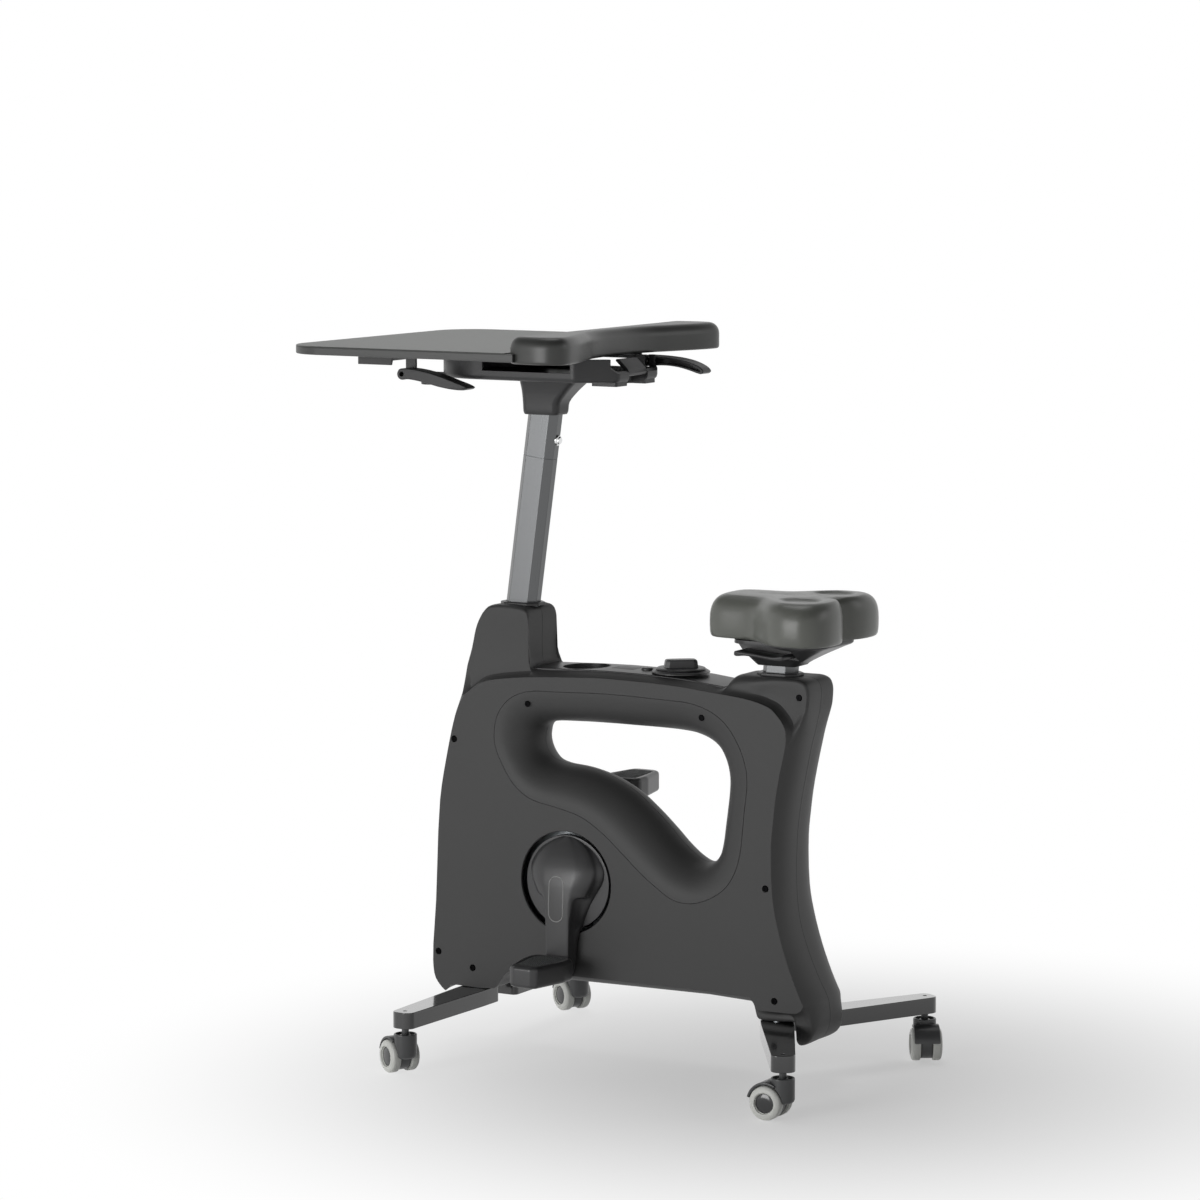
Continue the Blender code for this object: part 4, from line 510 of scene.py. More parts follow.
class BIKE_OT_stage(bpy.types.Operator):
    """Camera, lamps, white room and pale floor"""
    bl_idname = "bike.stage"
    bl_label = "Stage"

    def execute(self, context):
        values = context.scene.bike_stage
        context.scene.view_settings.view_transform = "Standard"
        a = math.radians(values.azimuth)
        e = math.radians(values.elevation)
        back = Vector((math.sin(a) * math.cos(e), -math.cos(a) * math.cos(e), math.sin(e)))
        camera = show("camera", bpy.data.cameras.new("camera"))
        camera.data.lens = values.lens
        camera.data.sensor_width = 36.0
        camera.data.clip_end = 60.0
        camera.location = HOME + Vector((0.025, 0, 0.7043)) + back * values.distance
        camera.rotation_euler = (-back).to_track_quat("-Z", "Y").to_euler()
        context.scene.camera = camera
        self.make_world(context, values)
        self.make_floor()
        # Name, place in metres, size in metres and power in watts
        for name, spot, size, power in (("key", (-1.4, -4.6, 1.0), 2.2, 84.0), ("rim", (3.4, 1.6, 2.2), 1.6, 8.0),
                                        ("top", (-0.8, 1.2, 4.6), 2.0, 26.0)):
            lamp = show(name, bpy.data.lights.new(name, "AREA"))
            lamp.data.size = size
            lamp.data.energy = power
            lamp.location = spot
            lamp.rotation_euler = (Vector((0, 0, 0.55)) - Vector(spot)).to_track_quat("-Z", "Y").to_euler()
        return {"FINISHED"}

    def make_world(self, context, values):
        """A white room with a darker ceiling. The camera sees plain white all round, a gloss white walls."""
        world = bpy.data.worlds.new("white_room")
        context.scene.world = world
        world.use_nodes = True
        tree = world.node_tree
        tree.nodes.clear()
        way = add(tree, "TexCoord", out="Generated")
        side = add(tree, "VectorMath", {0: way}, {"operation": "DOT_PRODUCT", 1: (-0.93, 0.3, -0.2)}, "Value")
        level = eased(tree, side, -0.3, 0.7, values.dark, values.bright)
        dome = eased(tree, add(tree, "SeparateXYZ", {0: way}, out="Z"), 0.25, 0.8, 1.0, values.ceiling)
        ray = add(tree, "LightPath").node.outputs
        clear = combine(tree, "MAXIMUM", ray["Is Camera Ray"], ray["Is Transmission Ray"])
        light, white = [add(tree, "Background", {"Strength": strength}, {"Color": (1, 1, 1, 1)})
                        for strength in (combine(tree, "MULTIPLY", level, dome),
                                         combine(tree, "MAXIMUM", clear, dome))]
        seen = combine(tree, "MAXIMUM", clear, ray["Is Glossy Ray"])
        add(tree, "OutputWorld", {"Surface": add(tree, "MixShader", {0: seen, 1: light, 2: white})})

    def make_floor(self):
        """A white floor that keeps soft shadows near the bike and turns plain white further out."""
        bm = bmesh.new()
        bmesh.ops.create_circle(bm, cap_ends=True, segments=96, radius=14.0)
        mesh = bpy.data.meshes.new("floor")
        bm.to_mesh(mesh)
        bm.free()
        floor = show("floor", mesh)
        floor.location = (0, 0, -0.0005)
        tree, shader, coords = new_finish("floor_white", Roughness=0.9, Specular_IOR_Level=0.1,
                                          Base_Color=(0.9, 0.9, 0.9, 1))
        moved = add(tree, "VectorMath", {0: coords}, {"operation": "SUBTRACT", 1: (0.3, 0.0, 0.0)})
        far = add(tree, "VectorMath", {0: moved}, {"operation": "LENGTH"}, "Value")
        fade = eased(tree, far, 0.1, 1.15, 0.42, 1.0)
        ray = add(tree, "LightPath").node.outputs
        seen = combine(tree, "MAXIMUM", ray["Is Camera Ray"], ray["Is Glossy Ray"])
        white = add(tree, "Emission", values={"Color": (1, 1, 1, 1), "Strength": 1.0})
        mix = add(tree, "MixShader", {0: combine(tree, "MULTIPLY", fade, seen), 1: shader.outputs[0], 2: white})
        tree.links.new(mix, tree.nodes["Material Output"].inputs["Surface"])
        mesh.materials.append(FINISH["floor_white"])


# Body shells

SEAM = 0.15
SHELL = 3.0
CHEEK_Y = 61.0
CRANK_Z = 276.0
CRANK_HOLE = 78.7
DECK_Z = 587.6
CRANK_LENGTH = 124.0
COLUMN_FOOT, COLUMN_LEAN = (-111.0, 690.0), 7.8
POST_FOOT, POST_LEAN = (335.0, 611.0), 4.9
SEAT = 5.2
SCREW_SEATS = [(-199, 482), (-229, 147), (-167, 127), (359, 130), (343, 298)]
TRIM_SEATS = [(-68.4, 545.5), (233.5, 546.1)]
BLOCK_SEAT = (388.3, 585.0)
FRONT_PIVOT = (-165.0, 48.0)
REAR_PIVOT = (464.5 - (234 - 42) * math.tan(math.radians(30)), 42.0)

# Mid-plane x and z, cheek x and z, half width of the narrow core, and 1 where the shoulder is square
STATIONS = [
    (-236, 88, -218, 87, 55, 0), (-246, 104, -234, 104, 55, 0), (-250, 132, -239, 132, 55, 0),
    (-245, 227, -233, 227, 50, 0), (-236, 385, -225, 385, 50, 0), (-226, 448, -214, 448, 50, 0),
    (-209, 519, -197, 519, 45, 0), (-202, 545, -187.5, 541, 43, 0), (-187, 597, -178, 553.5, 43, 0),
    (-178, 626, -170, 560, 43, 0), (-171, 656, -161, 567, 43, 0), (-165, 670, -152, 572, 43, 0),
    (-157, 682, -142, 575.5, 43, 0), (-146, 690, -132, 578, 43, 0), (-92, 690, -97, 583.5, 43, 0),
    (-81, 686, -86, 584.8, 43, 0), (-77, 676, -78, 585.6, 43, 0), (-77, 614, -65, 586.8, 43, 0),
    (-73, 603, -58, 587.2, 43, 0), (-60, 600, -48, 588, 43, 0), (10, 602.5, 10, 591.5, 43, 0),
    (60, 603.6, 60, 593.6, 43, 0), (110, 603.2, 110, 593.2, 43, 0), (160, 602, 160, 592, 43, 0),
    (200, 600, 200, 590, 43, 0), (240, 595.5, 236, 586.8, 43, 0), (262, 593, 254, 585, 43, 0),
    (270, 598, 264, 584.2, 43, 0), (274, 607, 271, 583.6, 43, 0), (283, 611, 279, 583, 43, 0),
    (335, 611, 316, 578.4, 43, 0), (370, 611, 338, 573, 43, 0), (387, 610.5, 350, 568, 43, 0),
    (398, 606, 358, 561.5, 43, 0), (403, 595, 366, 553, 43, 0), (403, 580, 371.5, 545, 43, 0),
    (401, 563, 375, 536, 43, 0), (397, 545, 376, 526, 43, 0), (392.5, 526, 375.2, 515, 43, 0),
    (388, 509, 372.5, 500, 45, 0), (381, 475, 366, 472, 50, 0), (374, 440, 359.5, 436, 50, 0),
    (368, 402, 355.5, 400, 50, 0), (364.5, 364, 352.2, 364, 50, 0), (364.5, 289, 354.5, 289, 50, 0),
    (370, 244, 362, 248, 50, 0), (384, 200, 376, 200, 50, 0), (404, 156, 393, 157, 50, 0),
    (414, 138, 402, 138, 50, 0), (419, 126, 406.5, 129, 50, 0), (421.5, 105, 406, 124, 50, 0),
    (419.5, 88, 402.5, 119, 50, 0), (410, 71, 398, 116.4, 50, 0), (396, 64, 394, 115, 50, 0),
    (391, 68, 389.5, 114.6, 50, 0), (391, 97, 379, 114.1, 50, 1), (360, 97, 360, 114, 52, 1),
    (327, 97.5, 329, 115, 52, 1), (323, 105, 325, 122, 52, 1), (319, 114, 319, 130, 52, 0.5),
    (312, 118, 311, 132, 50, 0), (10, 118, 10, 132.4, 50, 0), (-85, 118, -82, 131, 50, 0),
    (-108, 118, -103, 127, 50, 0), (-117, 114, -113, 117, 50, 0), (-124, 104, -121, 105, 50, 0),
    (-132, 97.5, -130, 98.5, 50, 0), (-203, 97, -200, 97.2, 50, 0), (-212, 96, -207, 96, 50, 0),
    (-217.5, 90, -211.5, 90, 52, 0), (-224, 87, -214.5, 87.5, 55, 0),
]
CROWN = [(0.0, 0.0), (0.35, 0.035), (0.62, 0.217), (0.82, 0.53), (0.93, 0.79), (0.985, 0.945), (1.0, 1.0)]

# Opening at the mid-plane, and the edge of its flare on the cheek
OPENING = [
    ((-48, 514), (-68, 564)), ((0, 517), (-4, 567.5)), ((55, 518), (61, 570)), ((100, 518), (104, 570)),
    ((140, 518), (147, 569)), ((178, 517), (184, 568)), ((205, 514), (216, 566)), ((231, 505), (250, 556)),
    ((247, 493), (275, 539)), ((257, 474), (297, 508)), ((261, 452), (309, 476)), ((260, 430), (311, 448)),
    ((257, 405), (307, 412)), ((253.5, 380), (304, 382)), ((250, 356), (301, 353)), ((245, 338), (293, 322)),
    ((235, 325), (276, 294)), ((222, 319), (248, 274)), ((208, 320), (216, 264)), ((190, 330), (186, 267)),
    ((169, 347), (158, 283)), ((150, 366), (130, 303)), ((118, 394), (96, 332)), ((85, 418), (61, 360)),
    ((45, 436), (26, 380)), ((5, 446), (-18, 391)), ((-35, 450), (-62, 400)), ((-55, 456), (-90, 418)),
    ((-66, 467), (-111, 447)), ((-70.5, 480), (-125, 478)), ((-70, 492), (-126, 504)),
    ((-66.5, 503), (-119, 528)), ((-59, 510), (-99, 551)),
]
MOUTH = spread([pair[0] for pair in OPENING], 4)
FLARE = spread([pair[1] for pair in OPENING], 4)


def leaned(foot, lean):
    return Matrix.Translation((foot[0], 0, foot[1])) @ Matrix.Rotation(math.radians(lean), 4, "Y")


COLUMN = leaned(COLUMN_FOOT, COLUMN_LEAN)
POST = leaned(POST_FOOT, POST_LEAN)


def section(mid, cheek, core, square, cheek_y):
    """One cross-section of a half shell from the seam out to the cheek, as (x, z, y)."""
    mid = Vector(mid)
    cheek = Vector(cheek)
    length = (cheek - mid).length
    way = (cheek - mid) / max(length, 0.01)
    crowned = [(length * rise, max(SEAM, cheek_y * out)) for out, rise in CROWN]
    r = min(6.0, length * 0.3)
    q = min(8.0, length * 0.3)
    boxed = [(0.0, SEAM), (0.0, core - r), (0.3 * r, core - 0.3 * r), (r, core), (length - q, core),
             (length - 0.25 * q, core + 0.55 * (cheek_y - core)), (length, cheek_y)]
    blend = max(square, clamp((length - 18.0) / 22.0))
    made = []
    for (along_a, out_a), (along_b, out_b) in zip(crowned, boxed):
        point = mid + way * (along_a * (1 - blend) + along_b * blend)
        made.append((point.x, point.y, out_a * (1 - blend) + out_b * blend))
    return made


class BikeBodyValues(bpy.types.PropertyGroup):
    refine: bpy.props.IntProperty(name="Refine", description="Curve steps between the outline's own points",
                                  default=3, min=1, max=6)
    line: number("Trim line", 0.5, "Width of the line round each opening trim, mm", min=0.2, max=1.5)


class BIKE_OT_shells(bpy.types.Operator):
    """Moulded half shells with their seam, crank hole and screw seats"""
    bl_idname = "bike.shells"
    bl_label = "Body shells"

    def execute(self, context):
        values = context.scene.bike_body
        for word, side in SIDES:
            shell = self.skin(side, values.refine).piece(word + "_shell_skin")
            self.cut_holes(shell, side, values.line)
            dress(shell, "abs_eroded_matt", "base", word + "_shell", sharp=32.0, weigh=True)
        return {"FINISHED"}

    def skin(self, side, refine):
        """Outer skin on the fine stations, inner skin on the plain ones, joined at the seam."""
        form = Form()
        bm = form.bm
        stations = spread(STATIONS, refine)
        outer = []
        for station, inset in zip(stations, offset([s[:2] for s in stations], -0.35)):
            row = spread(section(station[:2], station[2:4], *station[4:], CHEEK_Y), 3, closed=False)
            row = [(*inset, SEAM), (row[0][0], row[0][1], SEAM + 0.35)] + row[1:]
            outer.append([bm.verts.new((x, side * y, z)) for x, z, y in row])
        mids = offset([s[:2] for s in STATIONS], -SHELL)
        cheeks = offset([s[2:4] for s in STATIONS], -SHELL)
        inner = []
        for station, mid, cheek in zip(STATIONS, mids, cheeks):
            row = section(mid, cheek, station[4] - SHELL, station[5], CHEEK_Y - SHELL)
            inner.append([bm.verts.new((row[k][0], side * row[k][2], row[k][1])) for k in (0, 2, 3, 4, 6)])
        for rows in (outer, inner):
            for i, row in enumerate(rows):
                ahead = rows[(i + 1) % len(rows)]
                for k in range(len(row) - 1):
                    bm.faces.new((row[k], ahead[k], ahead[k + 1], row[k + 1]))
            bm.faces.new([row[-1] for row in rows])
        for i in range(len(inner)):
            rim = [outer[(i * refine + k) % len(outer)][0] for k in range(refine + 1)]
            bm.faces.new(rim + [inner[(i + 1) % len(inner)][0], inner[i][0]])
        return form

    def cut_holes(self, shell, side, line):
        inside, outside = 40, 75
        boolean(shell, Form().loft([across(offset(FLARE, wider), side * y) for y, wider in
                                    ((inside, line), (CHEEK_Y - 0.5, line), (CHEEK_Y + 0.6, line + 1.1),
                                     (outside, line + 1.1))]))
        hole = [(0, inside), (CRANK_HOLE, inside), (CRANK_HOLE, CHEEK_Y - 1.4), (CRANK_HOLE + 0.4, CHEEK_Y - 0.5),
                (CRANK_HOLE + 1.6, CHEEK_Y + 0.4), (CRANK_HOLE + 1.6, outside), (0, outside)]
        seat = [(0, CHEEK_Y - 1.7), (SEAT, CHEEK_Y - 1.7), (SEAT, CHEEK_Y - 0.5), (SEAT + 0.7, CHEEK_Y + 0.4),
                (0, CHEEK_Y + 0.4)]
        holes = Form().lathe(hole, "y", 96, (0, 0, CRANK_Z), side=side)
        for x, z in SCREW_SEATS:
            holes.lathe(seat, "y", 24, (x, 0, z), side=side)
        holes.bore(SEAT, 41, 46, "y", 24, (BLOCK_SEAT[0], 0, BLOCK_SEAT[1]), side)
        for x, y in (FRONT_PIVOT, REAR_PIVOT):
            holes.bore(6.8, 80, 106, "z", 24, (x, side * y, 0))
        boolean(shell, holes)
        boolean(shell, Form().prism(rounded(box(-70, 262, -40, 40), 6), DECK_Z, 640))
        for tube in (COLUMN, POST):
            boolean(shell, Form().prism(octagon(POST_WIDTH + 1.6), -12, 12), matrix=tube)


class BIKE_OT_trims(bpy.types.Operator):
    """Flared walls of the body's opening, one from each side"""
    bl_idname = "bike.trims"
    bl_label = "Opening trims"

    def execute(self, context):
        for word, side in SIDES:
            rings = [across(offset(MOUTH, 0.4), side * SEAM)]
            rings += self.turn_out(MOUTH, 18, SEAM + 0.3, CHEEK_Y, side)
            rings.append(across(offset(FLARE, 0.3), side * (CHEEK_Y - 0.6)))
            rings += self.turn_out(offset(MOUTH, SHELL), 6, SEAM, CHEEK_Y - SHELL, side)[::-1]
            trim = Form().loft(rings, closed=True).piece(word + "_opening_trim_skin")
            seats = Form()
            for x, z in TRIM_SEATS:
                seats.bore(SEAT, CHEEK_Y - 2.2, CHEEK_Y + 2, "y", 24, (x, 0, z), side)
            boolean(trim, seats)
            dress(trim, "abs_eroded_matt", "base", word + "_opening_trim", sharp=40.0)
        return {"FINISHED"}

    def turn_out(self, inner, steps, low, high, side):
        """Rings from an outline out to the flare's edge, over a quarter turn."""
        rings = []
        for k in range(steps + 1):
            turn = math.pi / 2 * k / steps
            mix = 1 - math.cos(turn)
            rings.append(across([(ax + (bx - ax) * mix, az + (bz - az) * mix)
                                 for (ax, az), (bx, bz) in zip(inner, FLARE)],
                                side * (low + (high - low) * math.sin(turn))))
        return rings


class BikeDriveValues(bpy.types.PropertyGroup):
    inlay: number("Inlay", 0.7, "Radius of the bead round the crank's inlay, mm", min=0.3, max=2.0)
    stud: number("Stud", 4.2, "Pitch of the grip studs on the pedals, mm", min=2.0, max=10.0)


def crank_section(k, half, flat, face, back):
    """Section of the domed crank arm at distance k from the axle, as (x, y) with y outward."""
    rise = face - back
    shoulder = flat + (half - flat) * (0.62 if k < 20 else 0.22)
    bend = half * 0.45 + shoulder * 0.55
    side = [(-half, back), (-half, back + rise * 0.18), (-bend, back + rise * 0.42),
            (-shoulder, back + rise * 0.72), (-flat, face - 1.2), (-flat * 0.6, face)]
    return side + [(0, face + 0.4)] + [(-x, y) for x, y in reversed(side)]


# Distance from the axle, half width, half flat, face and back, along the crank arm
ARM = [(-70.5, 10, 5, 57, 50), (-64, 28, 13, 61, 50), (-52, 46, 22, 68.5, 50), (-38, 57, 28, 76, 50),
       (-22, 64, 31, 82.5, 50), (-5, 62, 29, 86.5, 50), (12, 52, 25, 88, 50), (30, 41, 22, 88.7, 50),
       (48, 33, 20.6, 89, 50), (63, 28, 20, 89, 50), (72, 26, 20, 89, 62), (92, 22.5, 19.6, 89, 66),
       (118, 21, 19.2, 89, 66), (132, 18.5, 16.5, 88.6, 66), (140, 14, 12, 88, 66), (144.5, 8, 6.5, 87, 66.5)]


class BIKE_OT_cranks(bpy.types.Operator):
    """Domed cranks with their inlay bead, whose pale colour is a painted highlight"""
    bl_idname = "bike.cranks"
    bl_label = "Cranks"

    def execute(self, context):
        radius = context.scene.bike_drive.inlay
        disc = [(10.3, 40), (16, 40), (16, 47), (71.7, 47), (72.5, 47.8), (72.5, 54.2), (72.1, 55.1),
                (71.2, 55.5), (10.3, 55.5)]
        for word, side in SIDES:
            name = word + "_crank"
            crank = Form().loft([[(x, side * y, CRANK_Z + side * row[0])
                                  for x, y in spread(crank_section(*row), 3, closed=False)]
                                 for row in spread(ARM, 4, closed=False)]).piece(name + "_cast")
            boolean(crank, Form().lathe(disc, "y", 96, (0, 0, CRANK_Z), True, side), "UNION")
            for size, reach in (((10.3, 30, 66.4), 0), ((6.3, 69, 95), side * CRANK_LENGTH)):
                boolean(crank, Form().bore(*size, "y", 32, (0, 0, CRANK_Z + reach), side))
            self.inlay(crank, name, side, radius)
            dress(crank, "nylon_satin_grey", "crankset", name, sharp=38.0, weigh=True)
        return {"FINISHED"}

    def inlay(self, crank, name, side, radius):
        """A bead laid on the arm's face, along a long rounded loop, in a pale finish that paints the highlight along
        the inlay's edge.
        """
        tree = BVHTree.FromObject(crank, bpy.context.evaluated_depsgraph_get())
        path = []
        for x, z in spread(rounded(box(-13.8, 10.8, 13, -56), 12.2, 10), 2):
            point = Vector((x, side * 120.0, CRANK_Z - side * z)) * MM + HOME
            hit = tree.ray_cast(point, Vector((0, -side, 0)))[0]
            path.append((hit - HOME) / MM - Vector((0, side * 0.15, 0)))
        rings = []
        for i, point in enumerate(path):
            ahead = (path[(i + 1) % len(path)] - path[i - 1]).normalized()
            right = ahead.cross(Vector((0.03, 1, 0.02))).normalized()
            over = ahead.cross(right)
            rings.append([point + right * (radius * math.cos(t)) + over * (radius * math.sin(t))
                          for t in (math.tau * k / 8 for k in range(8))])
        bead = Form().loft(rings, closed=True).piece(name + "_inlay_highlight_bead")
        # The bead's pale finish is a painted highlight for the light along the inlay's edge.
        dress(bead, "inlay_painted_highlight", "crankset")


class BIKE_OT_pedals(bpy.types.Operator):
    """Pedals with a raised rim and a studded grip on both faces"""
    bl_idname = "bike.pedals"
    bl_label = "Pedals"

    def execute(self, context):
        pitch = context.scene.bike_drive.stud
        half = [(92, 28), (104, 37.5), (128, 37.5), (188, 24), (193, 14)]
        radii = [6, 12, 30, 8, 12]
        well = [(103, 25), (128, 24), (173, 18)]
        levels = ends(-16.5, 16.5, [(0, 5.4), (0.3, 4.3), (1.5, 2.0), (3.5, 0.5), (6, 0)])
        group, sockets = on_points("studs_on_points", ("Width", "Height"), self.stud)
        for word, side in SIDES:
            name = word + "_pedal"
            centre = (0, 0, CRANK_Z + side * CRANK_LENGTH)
            moved = Matrix.Translation(centre)
            outline = rounded([(w, side * y) for y, w in half] + [(-w, side * y) for y, w in reversed(half)],
                              radii + radii[::-1])
            seat = rounded([(-w, side * y) for y, w in well] + [(w, side * y) for y, w in reversed(well)], 5, 6)
            pedal = Form().stack(outline, levels).piece(name + "_moulded", moved)
            boolean(pedal, Form().bore(5.3, 84, 186, "y", 24, centre, side))
            for face in (-1, 1):
                for wider, floor in ((3.4, 15.6), (0, 14.6)):
                    boolean(pedal, Form().stack(offset(seat, wider), ((face * floor, 0), (face * 17.4, -1.0))),
                            matrix=moved)
            dress(pedal, "nylon_satin_grey", name + "_body", name, sharp=34.0, edge=0.35, weigh=True)
            studs = self.lattice(side, pitch).piece(name + "_studs", moved)
            grow(studs, group, sockets, Width=pitch * 0.62 * MM, Height=1.5 * MM, Finish=FINISH["rubber_grip"])
            dress(studs, "rubber_grip", name + "_body", sharp=30.0)
        return {"FINISHED"}

    def lattice(self, side, pitch):
        """A point for each stud on both faces, in rows that narrow with the pedal."""
        form = Form()
        near, reach, width = 105, 66, 44
        rows, columns = int(reach / pitch), int(width / pitch)
        for face in (-1, 1):
            for i in range(rows + 1):
                y = near + reach * i / rows
                wide = 22.5 if y < 128 else 22.5 - (y - 128) / 45 * 6
                for k in range(columns + 1):
                    form.bm.verts.new((wide * (2 * k / columns - 1), side * y, face * 15.2))
        return form

    def stud(self, group, start):
        size = add(group, "CombineXYZ", {0: start["Width"], 1: start["Width"], 2: start["Height"]})
        return {"Instance": add(group, "GeometryNodeMeshCube", {"Size": size})}


# Legs and castors

LEG_LOW, LEG_HIGH = 71.0, 96.0
TRAIL = {"front_left": 150.0, "front_right": 151.0, "rear_left": 180.6, "rear_right": -58.0}
STEMS = {"front_left": (-165.0, -258.0), "front_right": (-165.0, 258.0), "rear_left": (464.5, -234.0),
         "rear_right": (464.5, 234.0)}
WHEEL = (19.0, 0, 25.0)


class BikeFloorValues(bpy.types.PropertyGroup):
    lip: number("Tyre lip", 1.6, "Height of the tyre's lip over the hub cap, mm", min=0.2, max=4.0)


class BIKE_OT_legs(bpy.types.Operator):
    """Tapered gloss legs with a rounded top edge"""
    bl_idname = "bike.legs"
    bl_label = "Legs"

    def execute(self, context):
        low, high = LEG_LOW, LEG_HIGH
        levels = ((low, 0.8), (low + 0.3, 0.25), (low + 0.9, 0), (high - 1.5, 0), (high - 0.7, 0.2),
                  (high - 0.2, 0.7), (high, 1.5))
        for corner, stem in STEMS.items():
            x, y = FRONT_PIVOT if corner.startswith("front") else REAR_PIVOT
            pivot = Vector((x, math.copysign(y, stem[1])))
            run = Vector(stem) - pivot
            turned = Matrix.Translation((*pivot, 0)) @ Matrix.Rotation(math.atan2(run.y, run.x), 4, "Z")
            tip = run.length + 15
            outline = rounded([(-25, -25), (26, -25), (tip, -17.5), (tip, 17.5), (26, 25), (-25, 25)],
                              [9, 0, 13, 13, 0, 9], 12)
            leg = Form().stack(outline, levels).piece(corner + "_leg_bar", turned)
            end = (run.length, 0, 0)
            holes = Form().bore(6.3, low + 2.4, high + 5, "z", 32)
            holes.bore(5.8, low - 5, 89, "z", 32, end)
            holes.lathe([(0, 92.5), (3.1, 92.5), (3.1, high - 0.5), (3.7, high + 1), (0, high + 1)], "z", 24, end)
            boolean(leg, holes, matrix=turned)
            dress(leg, "powder_coat_gloss", corner + "_leg_body", corner + "_leg", sharp=28.0, weigh=True)
        return {"FINISHED"}


class BIKE_OT_castors(bpy.types.Operator):
    """Twin-wheel castors with their housings, tyres and hub caps"""
    bl_idname = "bike.castors"
    bl_label = "Castors"

    def execute(self, context):
        lip = context.scene.bike_floor.lip
        for corner, stem in STEMS.items():
            at = Matrix.Translation((*stem, 0)) @ Matrix.Rotation(math.radians(TRAIL[corner]), 4, "Z")
            self.housing(corner, at)
            self.wheels(corner, at, lip)
        return {"FINISHED"}

    def housing(self, corner, at):
        body = [(0, 24), (11, 24), (14.6, 25.0), (16.6, 27.0), (17.6, 30), (17.6, 59.8), (17.3, 60.8),
                (16.5, 61.4), (14.9, 61.4), (14.4, 60.9), (14.0, 57.4), (13.2, 57), (8.6, 57), (8.6, 59.4),
                (5.5, 60.2), (5.5, 88.5), (0, 88.5)]
        fork = Form().lathe(body, "z", 56).piece(corner + "_housing", at)
        hood = []
        for radius, first, last in ((30.6, 12.0, 120.0), (26.6, 120.0, 12.0)):
            for k in range(17):
                turn = math.radians(first + (last - first) * k / 16)
                hood.append((WHEEL[0] + radius * math.cos(turn), WHEEL[2] + radius * math.sin(turn)))
        levels = ends(-20, 20, [(0, 1.4), (0.6, 0.4), (2, 0)])
        boolean(fork, Form().stack(hood, levels, "y"), "UNION", at)
        web = [(0, -8.6), (21.4, -8.6), (22, -8.0), (22, 8.0), (21.4, 8.6), (0, 8.6)]
        boolean(fork, Form().lathe(web, "y", 56, WHEEL), "UNION", at)
        room = Form()
        for _, side in SIDES:
            room.bore(26.4, 8.8, 32, "y", 56, WHEEL, side)
        boolean(fork, room.bore(3.4, -9.5, 9.5, "y", 20, WHEEL), matrix=at)
        dress(fork, "polypropylene_waxy", corner + "_castor", corner + "_castor_fork", sharp=34.0,
              edge=0.3, weigh=True)

    def wheels(self, corner, at, lip):
        tyre = [(14.6, 9.4), (24.0, 9.4), (24.7, 9.8), (25, 10.6), (25, 18.8), (24.75, 20.2), (24.0, 21.4),
                (22.6, 22.5), (20.4, 23.4), (18.2, 23.95), (16.6, 24.15), (15.9, 23.9), (15.6, 23.2),
                (15.4, 24.2 - lip - 1.2), (14.6, 24.2 - lip - 1.4)]
        cap = [(0, 24.3 - lip), (6, 24.2 - lip), (10.5, 23.8 - lip), (13.4, 23.1 - lip), (14.9, 22.5 - lip),
               (15.35, 22.0 - lip), (15.35, 10.2), (3, 10.2), (3, 9.4), (0, 9.4)]
        tyres, caps = Form(), Form()
        for _, side in SIDES:
            tyres.lathe(tyre, "y", 72, WHEEL, True, side)
            caps.lathe(cap, "y", 72, WHEEL, side=side)
        caps.bore(3.0, -9.5, 9.5, "y", 20, WHEEL)
        body = corner + "_wheel_pair"
        dress(tyres.piece(corner + "_tyres", at), "polyurethane_tread", body, corner + "_wheels",
              sharp=40.0)
        dress(caps.piece(corner + "_hub_caps", at), "hub_gloss", body, sharp=40.0)


# Posts

SADDLE_BOTTOM = 664.0
BOARD_TOP = 1093.0
BOARD_THICK = 13.0
# Down through a gap, the rail, a gap, the tub's room and its floor
TUB_BOTTOM = BOARD_TOP - BOARD_THICK - 0.4 - 3.8 - 0.4 - 28.4 - 7.0
UPRIGHT = math.cos(math.radians(COLUMN_LEAN))
COLUMN_ABOVE = (TUB_BOTTOM - 35.0 - COLUMN_FOOT[1]) / UPRIGHT
COLUMN_BELOW = 85.0 - (COLUMN_FOOT[1] - FLYWHEEL_AXLE[1] - FLYWHEEL_RADIUS - 26.8) / UPRIGHT
POST_ABOVE = (SADDLE_BOTTOM - 13.15 - POST_FOOT[1]) / math.cos(math.radians(POST_LEAN))
POST_BELOW = -290.0
GROOVE_Z = 919.0
BUTTON_Z = 948.3


